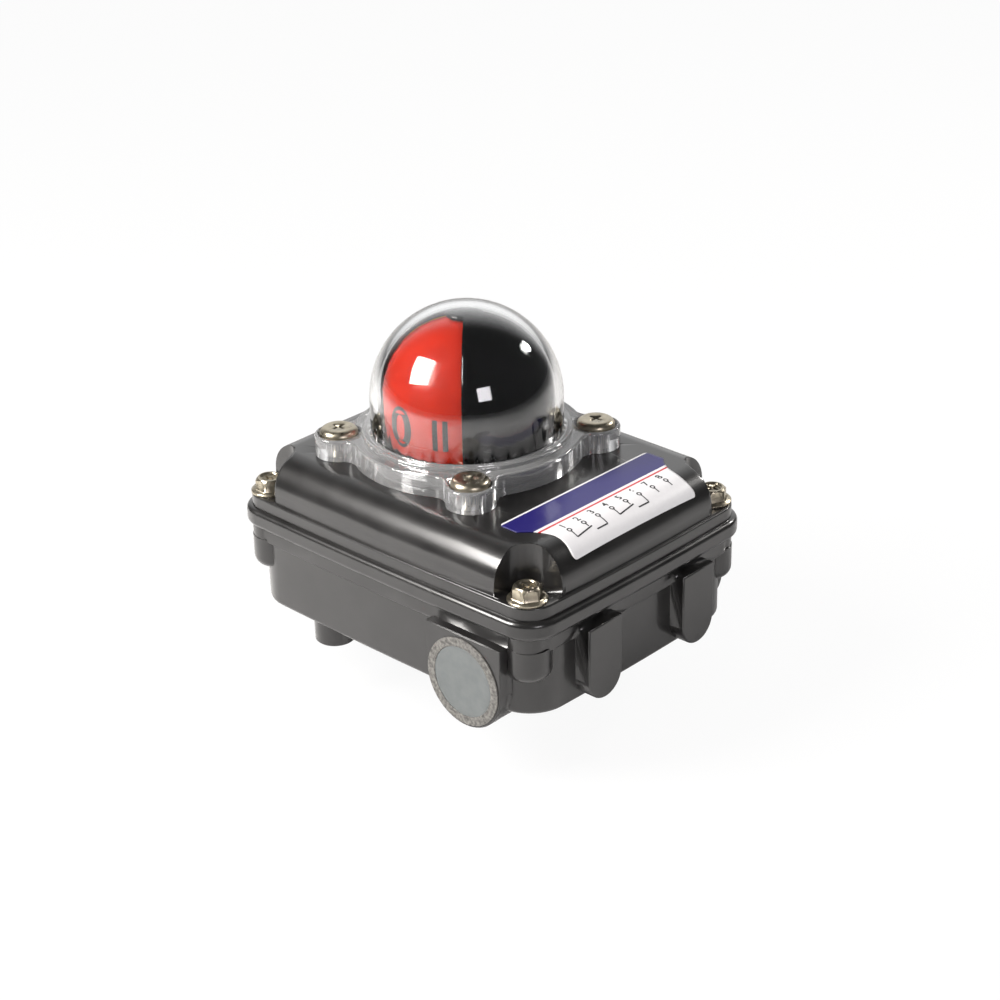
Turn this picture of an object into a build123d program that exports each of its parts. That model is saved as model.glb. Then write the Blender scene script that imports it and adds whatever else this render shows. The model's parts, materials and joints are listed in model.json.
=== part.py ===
"""Valve limit switch box: a die-cast two-part housing with a clear dome, a position
indicator turned by the valve shaft, and two cam-operated microswitches inside.
Units are millimetres. +Z is up, the long side of the box lies along X. The origin is the
centre of the four threaded feet, at their lower faces."""
from build123d import *
import os
from math import asin, atan2, cos, degrees, hypot, radians, sin, sqrt

os.makedirs("parts", exist_ok=True)

# ---------------------------------------------------------------- driving dimensions
# mounting feet
FOOT_SPACING_X = 56.0
FOOT_SPACING_Y = 80.0
FOOT_R = 6.5
FOOT_THREAD_R = 2.5
FOOT_THREAD_DEPTH = 9.0

# plan of the housing
BOX_X = 2.0
SHAFT_X = -6.5
RIM_LENGTH = 125.0
RIM_WIDTH = 98.0
RIM_CORNER_R = 9.0
SIDE_BOW = 1.0
BOLT_END_DISTANCE = 8.0
BOLT_SIDE_DISTANCE = 7.0

# heights of the housing
BASE_BOTTOM_Z = 10.5
SPLIT_Z = 34.5
BEAD_HEIGHT = 6.0
POCKET_Z = 44.5
COVER_TOP_Z = 58.0

# housing walls
WALL = 3.5
FLOOR = 3.5
BODY_INSET = 1.6
BODY_CORNER_R = 19.0
BODY_EDGE_R = 5.0
BASE_RIM_HEIGHT = 5.8
BASE_RIM_INSET = 0.7
LOAF_INSET = 1.3
LOAF_CORNER_R = 15.0
LOAF_EDGE_R = 10.5
BEAD_BULGE = 1.8
POCKET_R = 8.0
POCKET_WALL = 2.5
COLUMN_R = 6.2
COLUMN_INNER_R = 7.0
COLUMN_HEIGHT = 12.0

# conduit entries, threaded G 1/2
CONDUIT_END_DISTANCE = 25.5
CONDUIT_Z = 14.9
CONDUIT_PAD_R = 14.7
CONDUIT_PAD_TOP_Z = 30.0
CONDUIT_PAD_STANDOFF = 2.6
CONDUIT_MINOR_R = 9.3155
CONDUIT_MAJOR_R = 10.4775
CONDUIT_CHAMFER = 1.2
CONDUIT_THREAD_LENGTH = 13.0
CONDUIT_BOSS_LENGTH = 29.0
CONDUIT_COLLAR_WALL = 3.0
CONDUIT_CHANNEL_STEP = 0.6

# lugs on the end face
LUG_Y = 21.4
LUG_WIDTH = 14.4
LUG_STANDOFF = 3.7
LUG_TOP_Z = 32.5
LUG_BOTTOM_Z = 7.8

# cover seal
SEAL_WIDTH = 1.6
SEAL_HEIGHT = 1.8
SEAL_INSET = 2.1
SEAL_BOLT_MARGIN = 1.45
SEAL_CLEARANCE = 0.2

# cover bolts, M5 with hexagon flange heads
BOLT_R = 2.5
BOLT_HOLE_R = 2.75
BOLT_THREAD_R = 2.53
BOLT_FLANGE_R = 5.9
BOLT_FLANGE_HEIGHT = 1.2
BOLT_HEAD_AF = 8.0
BOLT_HEAD_HEIGHT = 4.7
BOLT_REACH = 22.0

# clear dome
DOME_R = 29.8
DOME_WALL = 2.3
DOME_CENTRE_Z = 75.7
DOME_FLANGE_HEIGHT = 6.9
DOME_FLANGE_R = 36.0
DOME_STEP_R = 32.6
DOME_STEP_HEIGHT = 1.4
DOME_SCREW_PCD = 79.2
DOME_LOBE_R = 7.6
DOME_RECESS_R = 6.6
DOME_RECESS_DEPTH = 1.2
DOME_SEAL_MARGIN = 4.4
DOME_SEAL_WIDTH = 3.2
DOME_SEAL_HEIGHT = 1.0

# dome screws, M5 with truss heads
SCREW_R = 2.5
SCREW_HOLE_R = 2.7
SCREW_THREAD_R = 2.53
SCREW_HEAD_R = 6.0
SCREW_HEAD_HEIGHT = 3.0
SCREW_REACH = 14.0

# indicator
SHROUD_R = 27.0
SHROUD_WALL = 0.9
WINDOW_ANGLE = 90.0
WINDOW_TURN = -4.0
WINDOW_CAP_R = 5.5
WINDOW_SILL_Z = 64.5
DRUM_GAP = 0.3
DRUM_WALL = 1.6
DRUM_BOTTOM_Z = 60.0
DRUM_HUB_R = 6.5
DRUM_HUB_DEPTH = 16.0
DRUM_RIB = 1.6

# shaft
SHAFT_R = 6.0
CAM_SEAT_R = 5.0
SPINDLE_R = 4.0
SHAFT_END_R = 5.0
SHAFT_END_FLAT = 0.9
SHAFT_END_LENGTH = 16.0
SHAFT_BOTTOM_Z = -18.0
SHAFT_SHOULDER_Z = 26.6
SPINDLE_SHOULDER_Z = 51.0
SHAFT_TOP_Z = 86.0
RUN_CLEARANCE = 0.04

# bushes and shaft seal
BUSH_WALL = 2.0
BUSH_BOTTOM_Z = 12.0
BUSH_TOP_Z = 24.0
BUSH_FLANGE_R = 10.5
BUSH_FLANGE_HEIGHT = 1.5
SHAFT_BOSS_R = 11.5
SHAFT_COLLAR_Z = 6.0
UPPER_BUSH_WALL = 2.0
UPPER_BOSS_R = 9.0
UPPER_BOSS_Z = 50.6
SHAFT_SEAL_SECTION_R = 1.1
SHAFT_SEAL_Z = 9.4

# cams
CAM_THICKNESS = 5.0
CAM_LOW_R = 12.95
CAM_RISE = 1.2
CAM_HUB_R = 8.6
CAM_FIT = 0.05
CAM_GAP = 0.35
CAM_HUB_STEP = 1.2
COLLAR_R = 8.0
COLLAR_HEIGHT = 2.0
COLLAR_GAP = 0.5
SPRING_R = 7.0
SPRING_WIRE_R = 0.45
SPRING_TURNS = 2.5

# microswitches, standard 27.8 x 15.9 x 10.3 bodies
SWITCH_LENGTH = 27.8
SWITCH_DEPTH = 15.9
SWITCH_THICKNESS = 10.3
SWITCH_STANDOFF = 6.3
SWITCH_Y = 5.0
SWITCH_BOTTOM_Z = 25.0
SWITCH_SPACER = 1.0
SWITCH_HOLE_SPACING = 22.2
SWITCH_HOLE_R = 1.55
LEVER_PIVOT_Y = 16.0
LEVER_PIVOT_STANDOFF = 1.3
LEVER_THICKNESS = 0.6
LEVER_WIDTH = 4.0
LEVER_EYE_R = 0.95
LEVER_PIN_R = 0.43
LEVER_PIN_FIT = 0.03
LEVER_SIDE_GAP = 0.3
LEVER_EAR_THICKNESS = 1.2
LEVER_TIP_R = 2.2
PLUNGER_Y = 9.0
PLUNGER_R = 1.4
PLUNGER_FIT = 0.3

# bracket under the switches
BRACKET_THICKNESS = 2.0
BRACKET_LEG_MARGIN = 6.1
BRACKET_FOOT_LENGTH = 9.0
BRACKET_SCREW_R = 1.5
BRACKET_SCREW_REACH = 4.4
BRACKET_SCREW_INSET = 4.5
THREAD_GAP = 0.03
SMALL_HEAD_R = 2.8
SMALL_HEAD_HEIGHT = 2.0

# terminal strip
TERMINAL_COUNT = 8
TERMINAL_PITCH = 6.0
TERMINAL_OFFSET = 2.0
TERMINAL_DEPTH = 16.0
TERMINAL_HEIGHT = 11.0
TERMINAL_SEAT_Z = 18.0
TERMINAL_SCREW_R = 1.9
TERMINAL_RIB = 1.0
TERMINAL_CELL_FLOOR = 4.5
TERMINAL_EAR_HALF_WIDTH = 4.0
TERMINAL_EAR_LENGTH = 7.0
TERMINAL_EAR_HEIGHT = 3.0
TERMINAL_BOSS_R = 3.5
TERMINAL_SCREW_REACH = 8.0
TERMINAL_CLAMP_HEIGHT = 2.6

# earth screw, M4
EARTH_X = 14.0
EARTH_SIDE_DISTANCE = 13.0
EARTH_SCREW_R = 2.0
EARTH_SCREW_REACH = 4.8
EARTH_HEAD_R = 3.8
EARTH_HEAD_HEIGHT = 2.6
EARTH_BOSS_R = 4.0
EARTH_BOSS_HEIGHT = 4.0

# blanking plug of the rear conduit entry
PLUG_THREAD_GAP = 0.04
PLUG_FLANGE_R = 13.2
PLUG_FLANGE_HEIGHT = 1.6
PLUG_HEX_R = 11.0
PLUG_HEIGHT = 7.0

# label plate on the cover
LABEL_THICKNESS = 0.25
LABEL_WIDTH = 24.0
LABEL_END_MARGIN = 3.0
LABEL_SIDE_MARGIN = 16.0
LABEL_CORNER_R = 1.5
LABEL_POCKET_MARGIN = 7.0

# derived places
FOOT_X = FOOT_SPACING_X / 2
FOOT_Y = FOOT_SPACING_Y / 2
BOLT_X = RIM_LENGTH / 2 - BOLT_END_DISTANCE
BOLT_Y = RIM_WIDTH / 2 - BOLT_SIDE_DISTANCE
PAD_X = BOX_X + RIM_LENGTH / 2 - CONDUIT_END_DISTANCE
CONDUIT_PAD_Y = RIM_WIDTH / 2 + CONDUIT_PAD_STANDOFF
CHANNEL_R = CONDUIT_MINOR_R + CONDUIT_CHANNEL_STEP
LUG_FACE_X = BOX_X + RIM_LENGTH / 2 + LUG_STANDOFF
TERMINAL_X = PAD_X + TERMINAL_OFFSET
EARTH_Y = -(RIM_WIDTH / 2 - EARTH_SIDE_DISTANCE)
LABEL_X1 = BOX_X + RIM_LENGTH / 2 - LABEL_END_MARGIN
LABEL_X0 = LABEL_X1 - LABEL_WIDTH
LABEL_HALF_WIDTH = RIM_WIDTH / 2 - LABEL_SIDE_MARGIN
CAVITY_FLOOR_Z = BASE_BOTTOM_Z + FLOOR
BUSH_R = SHAFT_R + RUN_CLEARANCE + BUSH_WALL
UPPER_BUSH_R = SPINDLE_R + RUN_CLEARANCE + UPPER_BUSH_WALL
DRUM_R = SHROUD_R - SHROUD_WALL - DRUM_GAP
DOME_INNER_R = DOME_R - DOME_WALL
DOME_FLANGE_TOP_Z = COVER_TOP_Z + DOME_FLANGE_HEIGHT
DOME_SEAL_OUTER_R = DOME_FLANGE_R - DOME_SEAL_MARGIN
DOME_SEAL_INNER_R = DOME_SEAL_OUTER_R - DOME_SEAL_WIDTH
SWITCH_FACE_X = SHAFT_X - CAM_LOW_R - CAM_GAP - SWITCH_STANDOFF
BRACKET_LEG_Y = SWITCH_Y + SWITCH_LENGTH / 2 + BRACKET_LEG_MARGIN
LOWER_CAM_Z = SWITCH_BOTTOM_Z + SWITCH_THICKNESS / 2
UPPER_CAM_Z = LOWER_CAM_Z + SWITCH_THICKNESS + SWITCH_SPACER
LEVER_PIVOT_X = SWITCH_FACE_X + LEVER_PIVOT_STANDOFF
LEVER_TIP_X = SHAFT_X - CAM_LOW_R - CAM_GAP - LEVER_TIP_R
LEVER_SWING = degrees(CAM_RISE / LEVER_PIVOT_Y)


def bolt_places():
    """Centres of the four corner bolts in plan."""
    return [(BOX_X + sx * BOLT_X, sy * BOLT_Y) for sx in (-1, 1) for sy in (-1, 1)]


def foot_places():
    """Centres of the four threaded feet in plan."""
    return [(sx * FOOT_X, sy * FOOT_Y) for sx in (-1, 1) for sy in (-1, 1)]


def dome_screw_places():
    """Centres of the four dome screws, on the diagonals round the shaft."""
    reach = DOME_SCREW_PCD / 2 * sqrt(0.5)
    return [(SHAFT_X + sx * reach, sy * reach) for sx in (-1, 1) for sy in (-1, 1)]


def plan_face(inset, corner_r):
    """Rounded rectangle with slightly bowed sides, the plan shape of the housing."""
    half_x = RIM_LENGTH / 2 - inset
    half_y = RIM_WIDTH / 2 - inset
    edge_x = half_x - SIDE_BOW
    edge_y = half_y - SIDE_BOW
    corners = [(-edge_x, -edge_y), (edge_x, -edge_y), (edge_x, edge_y), (-edge_x, edge_y)]
    middles = [(0, -half_y), (half_x, 0), (0, half_y), (-half_x, 0)]
    sides = []
    for i in range(4):
        start = corners[i]
        end = corners[(i + 1) % 4]
        sides.append(ThreePointArc(start, middles[i], end))
    face = make_face(sides)
    face = fillet(face.vertices(), corner_r)
    return Pos(BOX_X, 0, 0) * face


def plan_block(inset, corner_r, bottom, top):
    """Solid of the plan shape between two heights."""
    return extrude(Pos(0, 0, bottom) * plan_face(inset, corner_r), top - bottom)


def rod(x, y, bottom, top, radius):
    """Upright cylinder between two heights."""
    return Pos(x, y, (bottom + top) / 2) * Cylinder(radius, top - bottom)


def block(x0, x1, y0, y1, z0, z1):
    """Box between six planes."""
    centre = Pos((x0 + x1) / 2, (y0 + y1) / 2, (z0 + z1) / 2)
    return centre * Box(x1 - x0, y1 - y0, z1 - z0)


def ring(x, y, bottom, top, outer, inner):
    """Upright tube between two heights."""
    return rod(x, y, bottom, top, outer) - rod(x, y, bottom, top, inner)


# ---------------------------------------------------------------- base housing
def conduit_profile(reach):
    """U-shaped outline of a conduit boss: flat top, round bottom."""
    centre = Pos(PAD_X, CONDUIT_Z)
    side = CONDUIT_PAD_TOP_Z - CONDUIT_Z
    upper = Pos(PAD_X, CONDUIT_Z + side / 2) * Rectangle(2 * reach, side)
    return centre * Circle(reach) + upper


def conduit_boss(side):
    """Boss of one conduit entry, standing out of the long wall and under the floor."""
    pad = conduit_profile(CONDUIT_PAD_R)
    wall_y = RIM_WIDTH / 2 - BODY_INSET - WALL
    outer = extrude(Plane.XZ.offset(-CONDUIT_PAD_Y) * pad, CONDUIT_PAD_Y - wall_y)
    belly = extrude(Plane.XZ.offset(-CONDUIT_PAD_Y) * pad, CONDUIT_BOSS_LENGTH)
    inner_y = CONDUIT_PAD_Y - CONDUIT_BOSS_LENGTH
    end_edges = belly.edges().filter_by_position(Axis.Y, inner_y - 0.1, inner_y + 0.1)
    belly = fillet(end_edges.sort_by(Axis.Z)[:1], CONDUIT_PAD_R * 0.5)
    belly = belly & block(PAD_X - 30, PAD_X + 30, 0, 60, -5, CAVITY_FLOOR_Z)
    boss = outer + belly
    if side < 0:
        boss = mirror(boss, about=Plane.XZ)
    return boss


def conduit_bore(side):
    """Threaded bore of one entry and the channel that opens up into the cavity."""
    bore_plane = Plane.XZ.offset(-CONDUIT_PAD_Y)
    bore = extrude(bore_plane * Pos(PAD_X, CONDUIT_Z) * Circle(CONDUIT_MINOR_R), CONDUIT_THREAD_LENGTH)
    mouth_r = CONDUIT_MAJOR_R + 0.3
    mouth = Pos(PAD_X, CONDUIT_PAD_Y - CONDUIT_CHAMFER / 2, CONDUIT_Z) * Rot(-90, 0, 0) * Cone(
        mouth_r - CONDUIT_CHAMFER, mouth_r, CONDUIT_CHAMFER)
    start_y = CONDUIT_PAD_Y - CONDUIT_THREAD_LENGTH
    end_y = CONDUIT_PAD_Y - CONDUIT_BOSS_LENGTH + WALL + 2
    centre = Pos(PAD_X, (start_y + end_y) / 2, CONDUIT_Z)
    trough = centre * Rot(90, 0, 0) * Cylinder(CHANNEL_R, start_y - end_y)
    slot = block(PAD_X - CHANNEL_R, PAD_X + CHANNEL_R, end_y, start_y, CONDUIT_Z, CONDUIT_Z + CHANNEL_R)
    cut = bore + mouth + trough + slot
    if side < 0:
        cut = mirror(cut, about=Plane.XZ)
    return cut


def end_lug(y):
    """Flat lug with a round lower end on the end face."""
    half = LUG_WIDTH / 2
    centre_z = LUG_BOTTOM_Z + half
    outline = Pos(y, centre_z) * Circle(half)
    outline += Pos(y, (centre_z + LUG_TOP_Z) / 2) * Rectangle(LUG_WIDTH, LUG_TOP_Z - centre_z)
    root_x = BOX_X + RIM_LENGTH / 2 - BODY_INSET - WALL + 0.5
    lug = extrude(Plane.YZ.offset(root_x) * outline, LUG_FACE_X - root_x)
    rim = lug.edges().filter_by_position(Axis.X, LUG_FACE_X - 0.1, LUG_FACE_X + 0.1)
    return fillet(rim, 0.6)


def base_housing():
    """Cast lower half: walls, corner columns, feet, conduit bosses and inner bosses."""
    body = plan_block(BODY_INSET, BODY_CORNER_R, BASE_BOTTOM_Z, SPLIT_Z)
    body = fillet(body.faces().sort_by(Axis.Z)[0].edges(), BODY_EDGE_R)
    rim = plan_block(BASE_RIM_INSET, RIM_CORNER_R, SPLIT_Z - BASE_RIM_HEIGHT, SPLIT_Z)
    rim = chamfer(rim.faces().sort_by(Axis.Z)[0].edges(), 0.6)
    shell = body + rim
    for x, y in bolt_places():
        column = rod(x, y, SPLIT_Z - COLUMN_HEIGHT, SPLIT_Z, COLUMN_R)
        column = fillet(column.edges().sort_by(Axis.Z)[0], 4.0)
        shell += column
    for x, y in foot_places():
        foot = rod(x, y, 0, CAVITY_FLOOR_Z - 1, FOOT_R)
        shell += chamfer(foot.edges().sort_by(Axis.Z)[0], 0.5)
    for side in (-1, 1):
        shell += conduit_boss(side)
        shell += end_lug(side * LUG_Y)
    shell += rod(SHAFT_X, 0, SHAFT_COLLAR_Z, CAVITY_FLOOR_Z, SHAFT_BOSS_R + 2)

    cavity = plan_block(BODY_INSET + WALL, BODY_CORNER_R - WALL, CAVITY_FLOOR_Z, SPLIT_Z + 1)
    for x, y in bolt_places():
        cavity -= rod(x, y, CAVITY_FLOOR_Z - 1, SPLIT_Z + 2, COLUMN_INNER_R)
    cavity = fillet(cavity.faces().sort_by(Axis.Z)[0].edges(), 1.2)
    shell -= cavity
    for side in (-1, 1):
        collar_y = CONDUIT_PAD_Y - CONDUIT_THREAD_LENGTH / 2
        turned = Rot(90, 0, 0) * Cylinder(CONDUIT_MINOR_R + CONDUIT_COLLAR_WALL, CONDUIT_THREAD_LENGTH)
        shell += Pos(PAD_X, side * collar_y, CONDUIT_Z) * turned
    for side in (-1, 1):
        shell -= conduit_bore(side)

    # bosses that carry the shaft bush, the switch bracket, the terminal strip and the earth screw
    shell += rod(SHAFT_X, 0, CAVITY_FLOOR_Z - 1, BUSH_TOP_Z - BUSH_FLANGE_HEIGHT, SHAFT_BOSS_R)
    for x, y in terminal_screw_places():
        shell += rod(x, y, CAVITY_FLOOR_Z - 1, TERMINAL_SEAT_Z, TERMINAL_BOSS_R)
    earth_seat = CAVITY_FLOOR_Z + EARTH_BOSS_HEIGHT
    shell += rod(EARTH_X, EARTH_Y, CAVITY_FLOOR_Z - 1, earth_seat, EARTH_BOSS_R)

    shell -= rod(SHAFT_X, 0, BUSH_BOTTOM_Z, BUSH_TOP_Z + 1, BUSH_R)
    shell -= rod(SHAFT_X, 0, SHAFT_COLLAR_Z - 1, BUSH_BOTTOM_Z + 1, SHAFT_R + 0.3)
    shell -= rod(SHAFT_X, 0, SHAFT_COLLAR_Z - 1, BUSH_BOTTOM_Z - 1.2, SHAFT_R + 2 * SHAFT_SEAL_SECTION_R + 0.3)
    for x, y in bolt_places():
        shell -= rod(x, y, POCKET_Z - BOLT_REACH - 1, SPLIT_Z + 1, BOLT_THREAD_R)
    for x, y in foot_places():
        shell -= rod(x, y, -1, FOOT_THREAD_DEPTH, FOOT_THREAD_R)
    for x, y in terminal_screw_places():
        hole_bottom = TERMINAL_SEAT_Z + TERMINAL_EAR_HEIGHT - TERMINAL_SCREW_REACH - 1
        shell -= rod(x, y, hole_bottom, TERMINAL_SEAT_Z + 1, BRACKET_SCREW_R + THREAD_GAP)
    for x, y in bracket_screw_places():
        shell -= rod(x, y, BASE_BOTTOM_Z + 1, CAVITY_FLOOR_Z + 1, BRACKET_SCREW_R + THREAD_GAP)
    earth_bottom = earth_seat - EARTH_SCREW_REACH - 0.2
    shell -= rod(EARTH_X, EARTH_Y, earth_bottom, earth_seat + 1, EARTH_SCREW_R + THREAD_GAP)
    shell -= seal_ring(SEAL_CLEARANCE, SPLIT_Z - SEAL_HEIGHT, SPLIT_Z + 1)
    return shell


def seal_region(inset, bolt_distance, bottom, top):
    """Plan shape with its corners cut back to pass inside the bolts."""
    region = plan_block(inset, RIM_CORNER_R, bottom, top)
    for x, y in bolt_places():
        region -= corner_block(x, y, bottom - 1, top + 1, bolt_distance)
    return region


def seal_ring(clearance, bottom, top):
    """Closed strip along the rim that passes inside the corner bolts."""
    bolt_distance = BOLT_THREAD_R + SEAL_BOLT_MARGIN
    outer = seal_region(SEAL_INSET - clearance, bolt_distance - clearance, bottom, top)
    inner = seal_region(SEAL_INSET + SEAL_WIDTH + clearance,
                        bolt_distance + SEAL_WIDTH + clearance, bottom - 1, top + 1)
    return outer - inner


def corner_block(x, y, bottom, top, inner):
    """Square region round a corner bolt, open to the outside, with a round inner corner."""
    sx = 1 if x > BOX_X else -1
    sy = 1 if y > 0 else -1
    reach = 20.0
    solid = Pos(x + sx * (reach - inner) / 2, y + sy * (reach - inner) / 2, (bottom + top) / 2) * Box(
        reach + inner, reach + inner, top - bottom)
    edge = solid.edges().filter_by(Axis.Z).sort_by_distance((BOX_X, 0, (bottom + top) / 2))[0]
    return fillet(edge, inner - 0.5)


# ---------------------------------------------------------------- cover housing
def loaf(grow):
    """Domed upper body of the cover: straight sides rounded into a flat top."""
    body = plan_block(LOAF_INSET - grow, LOAF_CORNER_R, SPLIT_Z + 2, COVER_TOP_Z + grow)
    return fillet(body.faces().sort_by(Axis.Z)[-1].edges(), LOAF_EDGE_R + grow)


def cover_housing():
    """Cast upper half: rim with a half-round bead, loaf-shaped top and corner pockets."""
    band = plan_block(0, RIM_CORNER_R, SPLIT_Z, POCKET_Z)
    band = fillet(band.faces().sort_by(Axis.Z)[-1].edges(), 0.6)
    bead = plan_block(-BEAD_BULGE, RIM_CORNER_R + BEAD_BULGE, SPLIT_Z, SPLIT_Z + BEAD_HEIGHT)
    rims = bead.faces().sort_by(Axis.Z)[0].edges() + bead.faces().sort_by(Axis.Z)[-1].edges()
    bead = fillet(rims, BEAD_BULGE - 0.02)
    shell = band + bead + loaf(0)
    for x, y in bolt_places():
        shell -= corner_block(x, y, POCKET_Z, COVER_TOP_Z + 5, POCKET_R)

    cavity = plan_block(LOAF_INSET + WALL, LOAF_CORNER_R - WALL, SPLIT_Z - 1, COVER_TOP_Z - WALL)
    cavity = fillet(cavity.faces().sort_by(Axis.Z)[-1].edges(), LOAF_EDGE_R - WALL)
    for x, y in bolt_places():
        cavity -= corner_block(x, y, SPLIT_Z - 2, COVER_TOP_Z, POCKET_R + POCKET_WALL)
    shell -= cavity

    for x, y in dome_screw_places():
        shell += rod(x, y, COVER_TOP_Z - SCREW_REACH + 2, COVER_TOP_Z - 1, 4.5)
    shell += rod(SHAFT_X, 0, UPPER_BOSS_Z, COVER_TOP_Z - 1, UPPER_BOSS_R)
    shell -= rod(SHAFT_X, 0, UPPER_BOSS_Z - 1, COVER_TOP_Z + 1, UPPER_BUSH_R)
    for x, y in dome_screw_places():
        shell -= rod(x, y, COVER_TOP_Z - SCREW_REACH + 4, COVER_TOP_Z + 1, SCREW_THREAD_R)
    for x, y in bolt_places():
        shell -= rod(x, y, SPLIT_Z - 1, POCKET_Z + 1, BOLT_HOLE_R)
    groove = ring(SHAFT_X, 0, COVER_TOP_Z - DOME_SEAL_HEIGHT, COVER_TOP_Z + 1,
                  DOME_SEAL_OUTER_R + SEAL_CLEARANCE, DOME_SEAL_INNER_R - SEAL_CLEARANCE)
    shell -= groove
    return shell


def label_outline():
    """Plan of the label: a straight inner side, hollowed where it passes the bolt pockets."""
    width = LABEL_X1 - LABEL_X0
    sheet = Pos((LABEL_X0 + LABEL_X1) / 2, 0) * Rectangle(width, 2 * LABEL_HALF_WIDTH)
    for side in (-1, 1):
        pocket = Pos(BOX_X + BOLT_X, side * BOLT_Y) * Circle(POCKET_R + LABEL_POCKET_MARGIN)
        sheet -= pocket
    return fillet(sheet.vertices(), LABEL_CORNER_R)


def label_plate():
    """Thin label that follows the cover's top and the start of its rounded end."""
    skin = loaf(LABEL_THICKNESS) - loaf(0)
    prism = extrude(Pos(0, 0, POCKET_Z) * label_outline(), 30)
    return skin & prism


# ---------------------------------------------------------------- dome and indicator
def bell(radius, bottom):
    """Cylinder round the shaft's axis closed by a hemisphere."""
    reach = radius * sqrt(0.5)
    crown = ThreePointArc((radius, DOME_CENTRE_Z), (reach, DOME_CENTRE_Z + reach), (0, DOME_CENTRE_Z + radius))
    sides = Polyline((0, DOME_CENTRE_Z + radius), (0, bottom), (radius, bottom), (radius, DOME_CENTRE_Z))
    profile = make_face([crown, sides])
    return Pos(SHAFT_X, 0, 0) * revolve(Plane.XZ * profile, Axis.Z)


def indicator_dome():
    """Clear dome: thick hemispherical cap on a four-lobed flange."""
    plan = Circle(DOME_FLANGE_R)
    for x, y in dome_screw_places():
        plan += Pos(x - SHAFT_X, y) * Circle(DOME_LOBE_R)
    plan = fillet(plan.vertices(), 5.0)
    flange = extrude(Pos(SHAFT_X, 0, COVER_TOP_Z) * plan, DOME_FLANGE_HEIGHT)
    flange = fillet(flange.faces().sort_by(Axis.Z)[-1].edges(), 0.8)
    step_top = DOME_FLANGE_TOP_Z + DOME_STEP_HEIGHT
    step = rod(SHAFT_X, 0, COVER_TOP_Z, step_top, DOME_STEP_R)
    step = fillet(step.edges().sort_by(Axis.Z)[-1], 1.0)
    dome = flange + step + bell(DOME_R, COVER_TOP_Z) - bell(DOME_INNER_R, COVER_TOP_Z - 1)
    for x, y in dome_screw_places():
        dome -= rod(x, y, COVER_TOP_Z - 1, DOME_FLANGE_TOP_Z + 1, SCREW_HOLE_R)
        dome -= rod(x, y, DOME_FLANGE_TOP_Z - DOME_RECESS_DEPTH, DOME_FLANGE_TOP_Z + 5, DOME_RECESS_R)
    return dome


def window_wedge(angle):
    """Quarter wedge that cuts one window, centred on a direction in plan."""
    reach = 60.0
    half = radians(WINDOW_ANGLE / 2)
    tip = WINDOW_CAP_R / sin(half) * 0.6
    far = (reach * cos(half), reach * sin(half))
    wedge = make_face(Polyline((tip * 0.7, 0), far, (far[0], -far[1]), close=True))
    tall = DOME_CENTRE_Z + SHROUD_R + 5
    solid = extrude(Pos(0, 0, WINDOW_SILL_Z) * wedge, tall - WINDOW_SILL_Z)
    return Pos(SHAFT_X, 0, 0) * Rot(0, 0, angle) * solid


def indicator_shroud():
    """Fixed black mask under the dome with two opposite windows."""
    shroud = bell(SHROUD_R, COVER_TOP_Z) - bell(SHROUD_R - SHROUD_WALL, COVER_TOP_Z - 1)
    for angle in (-90 + WINDOW_TURN, 90 + WINDOW_TURN):
        shroud -= window_wedge(angle) - rod(SHAFT_X, 0, 0, 200, WINDOW_CAP_R)
    return shroud


def indicator_drum():
    """Turning indicator: coloured cap with a hub and ribs, carried on the shaft's end."""
    drum = bell(DRUM_R, DRUM_BOTTOM_Z) - bell(DRUM_R - DRUM_WALL, DRUM_BOTTOM_Z - 1)
    hub_bottom = SHAFT_TOP_Z - DRUM_HUB_DEPTH
    hub = rod(SHAFT_X, 0, hub_bottom, DOME_CENTRE_Z + DRUM_R, DRUM_HUB_R)
    rib = block(-DRUM_R, DRUM_R, -DRUM_RIB / 2, DRUM_RIB / 2, hub_bottom + 4, DOME_CENTRE_Z + DRUM_R)
    ribs = Pos(SHAFT_X, 0, 0) * (rib + Rot(0, 0, 90) * rib)
    drum += (hub + ribs) & bell(DRUM_R - DRUM_WALL / 2, DRUM_BOTTOM_Z)
    drum -= rod(SHAFT_X, 0, 0, SHAFT_TOP_Z, SPINDLE_R + CAM_FIT)
    return drum


def dome_seal():
    """Flat rubber ring under the dome flange."""
    return ring(SHAFT_X, 0, COVER_TOP_Z - DOME_SEAL_HEIGHT, COVER_TOP_Z,
                DOME_SEAL_OUTER_R, DOME_SEAL_INNER_R)


def dome_screws():
    """Four truss-head screws that hold the dome to the cover."""
    screws = []
    seat = DOME_FLANGE_TOP_Z - DOME_RECESS_DEPTH
    for x, y in dome_screw_places():
        head = rod(x, y, seat, seat + SCREW_HEAD_HEIGHT, SCREW_HEAD_R)
        head = fillet(head.edges().sort_by(Axis.Z)[-1], 2.0)
        shank = rod(x, y, seat - SCREW_REACH, seat + 0.5, SCREW_R)
        for turn in (0, 90):
            arm = Pos(x, y, seat + SCREW_HEAD_HEIGHT) * Rot(0, 0, turn) * Box(4.8, 1.0, 2.4)
            head -= arm
        screws.append(head + shank)
    return Compound(children=[Part() + screw for screw in screws])


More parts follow.
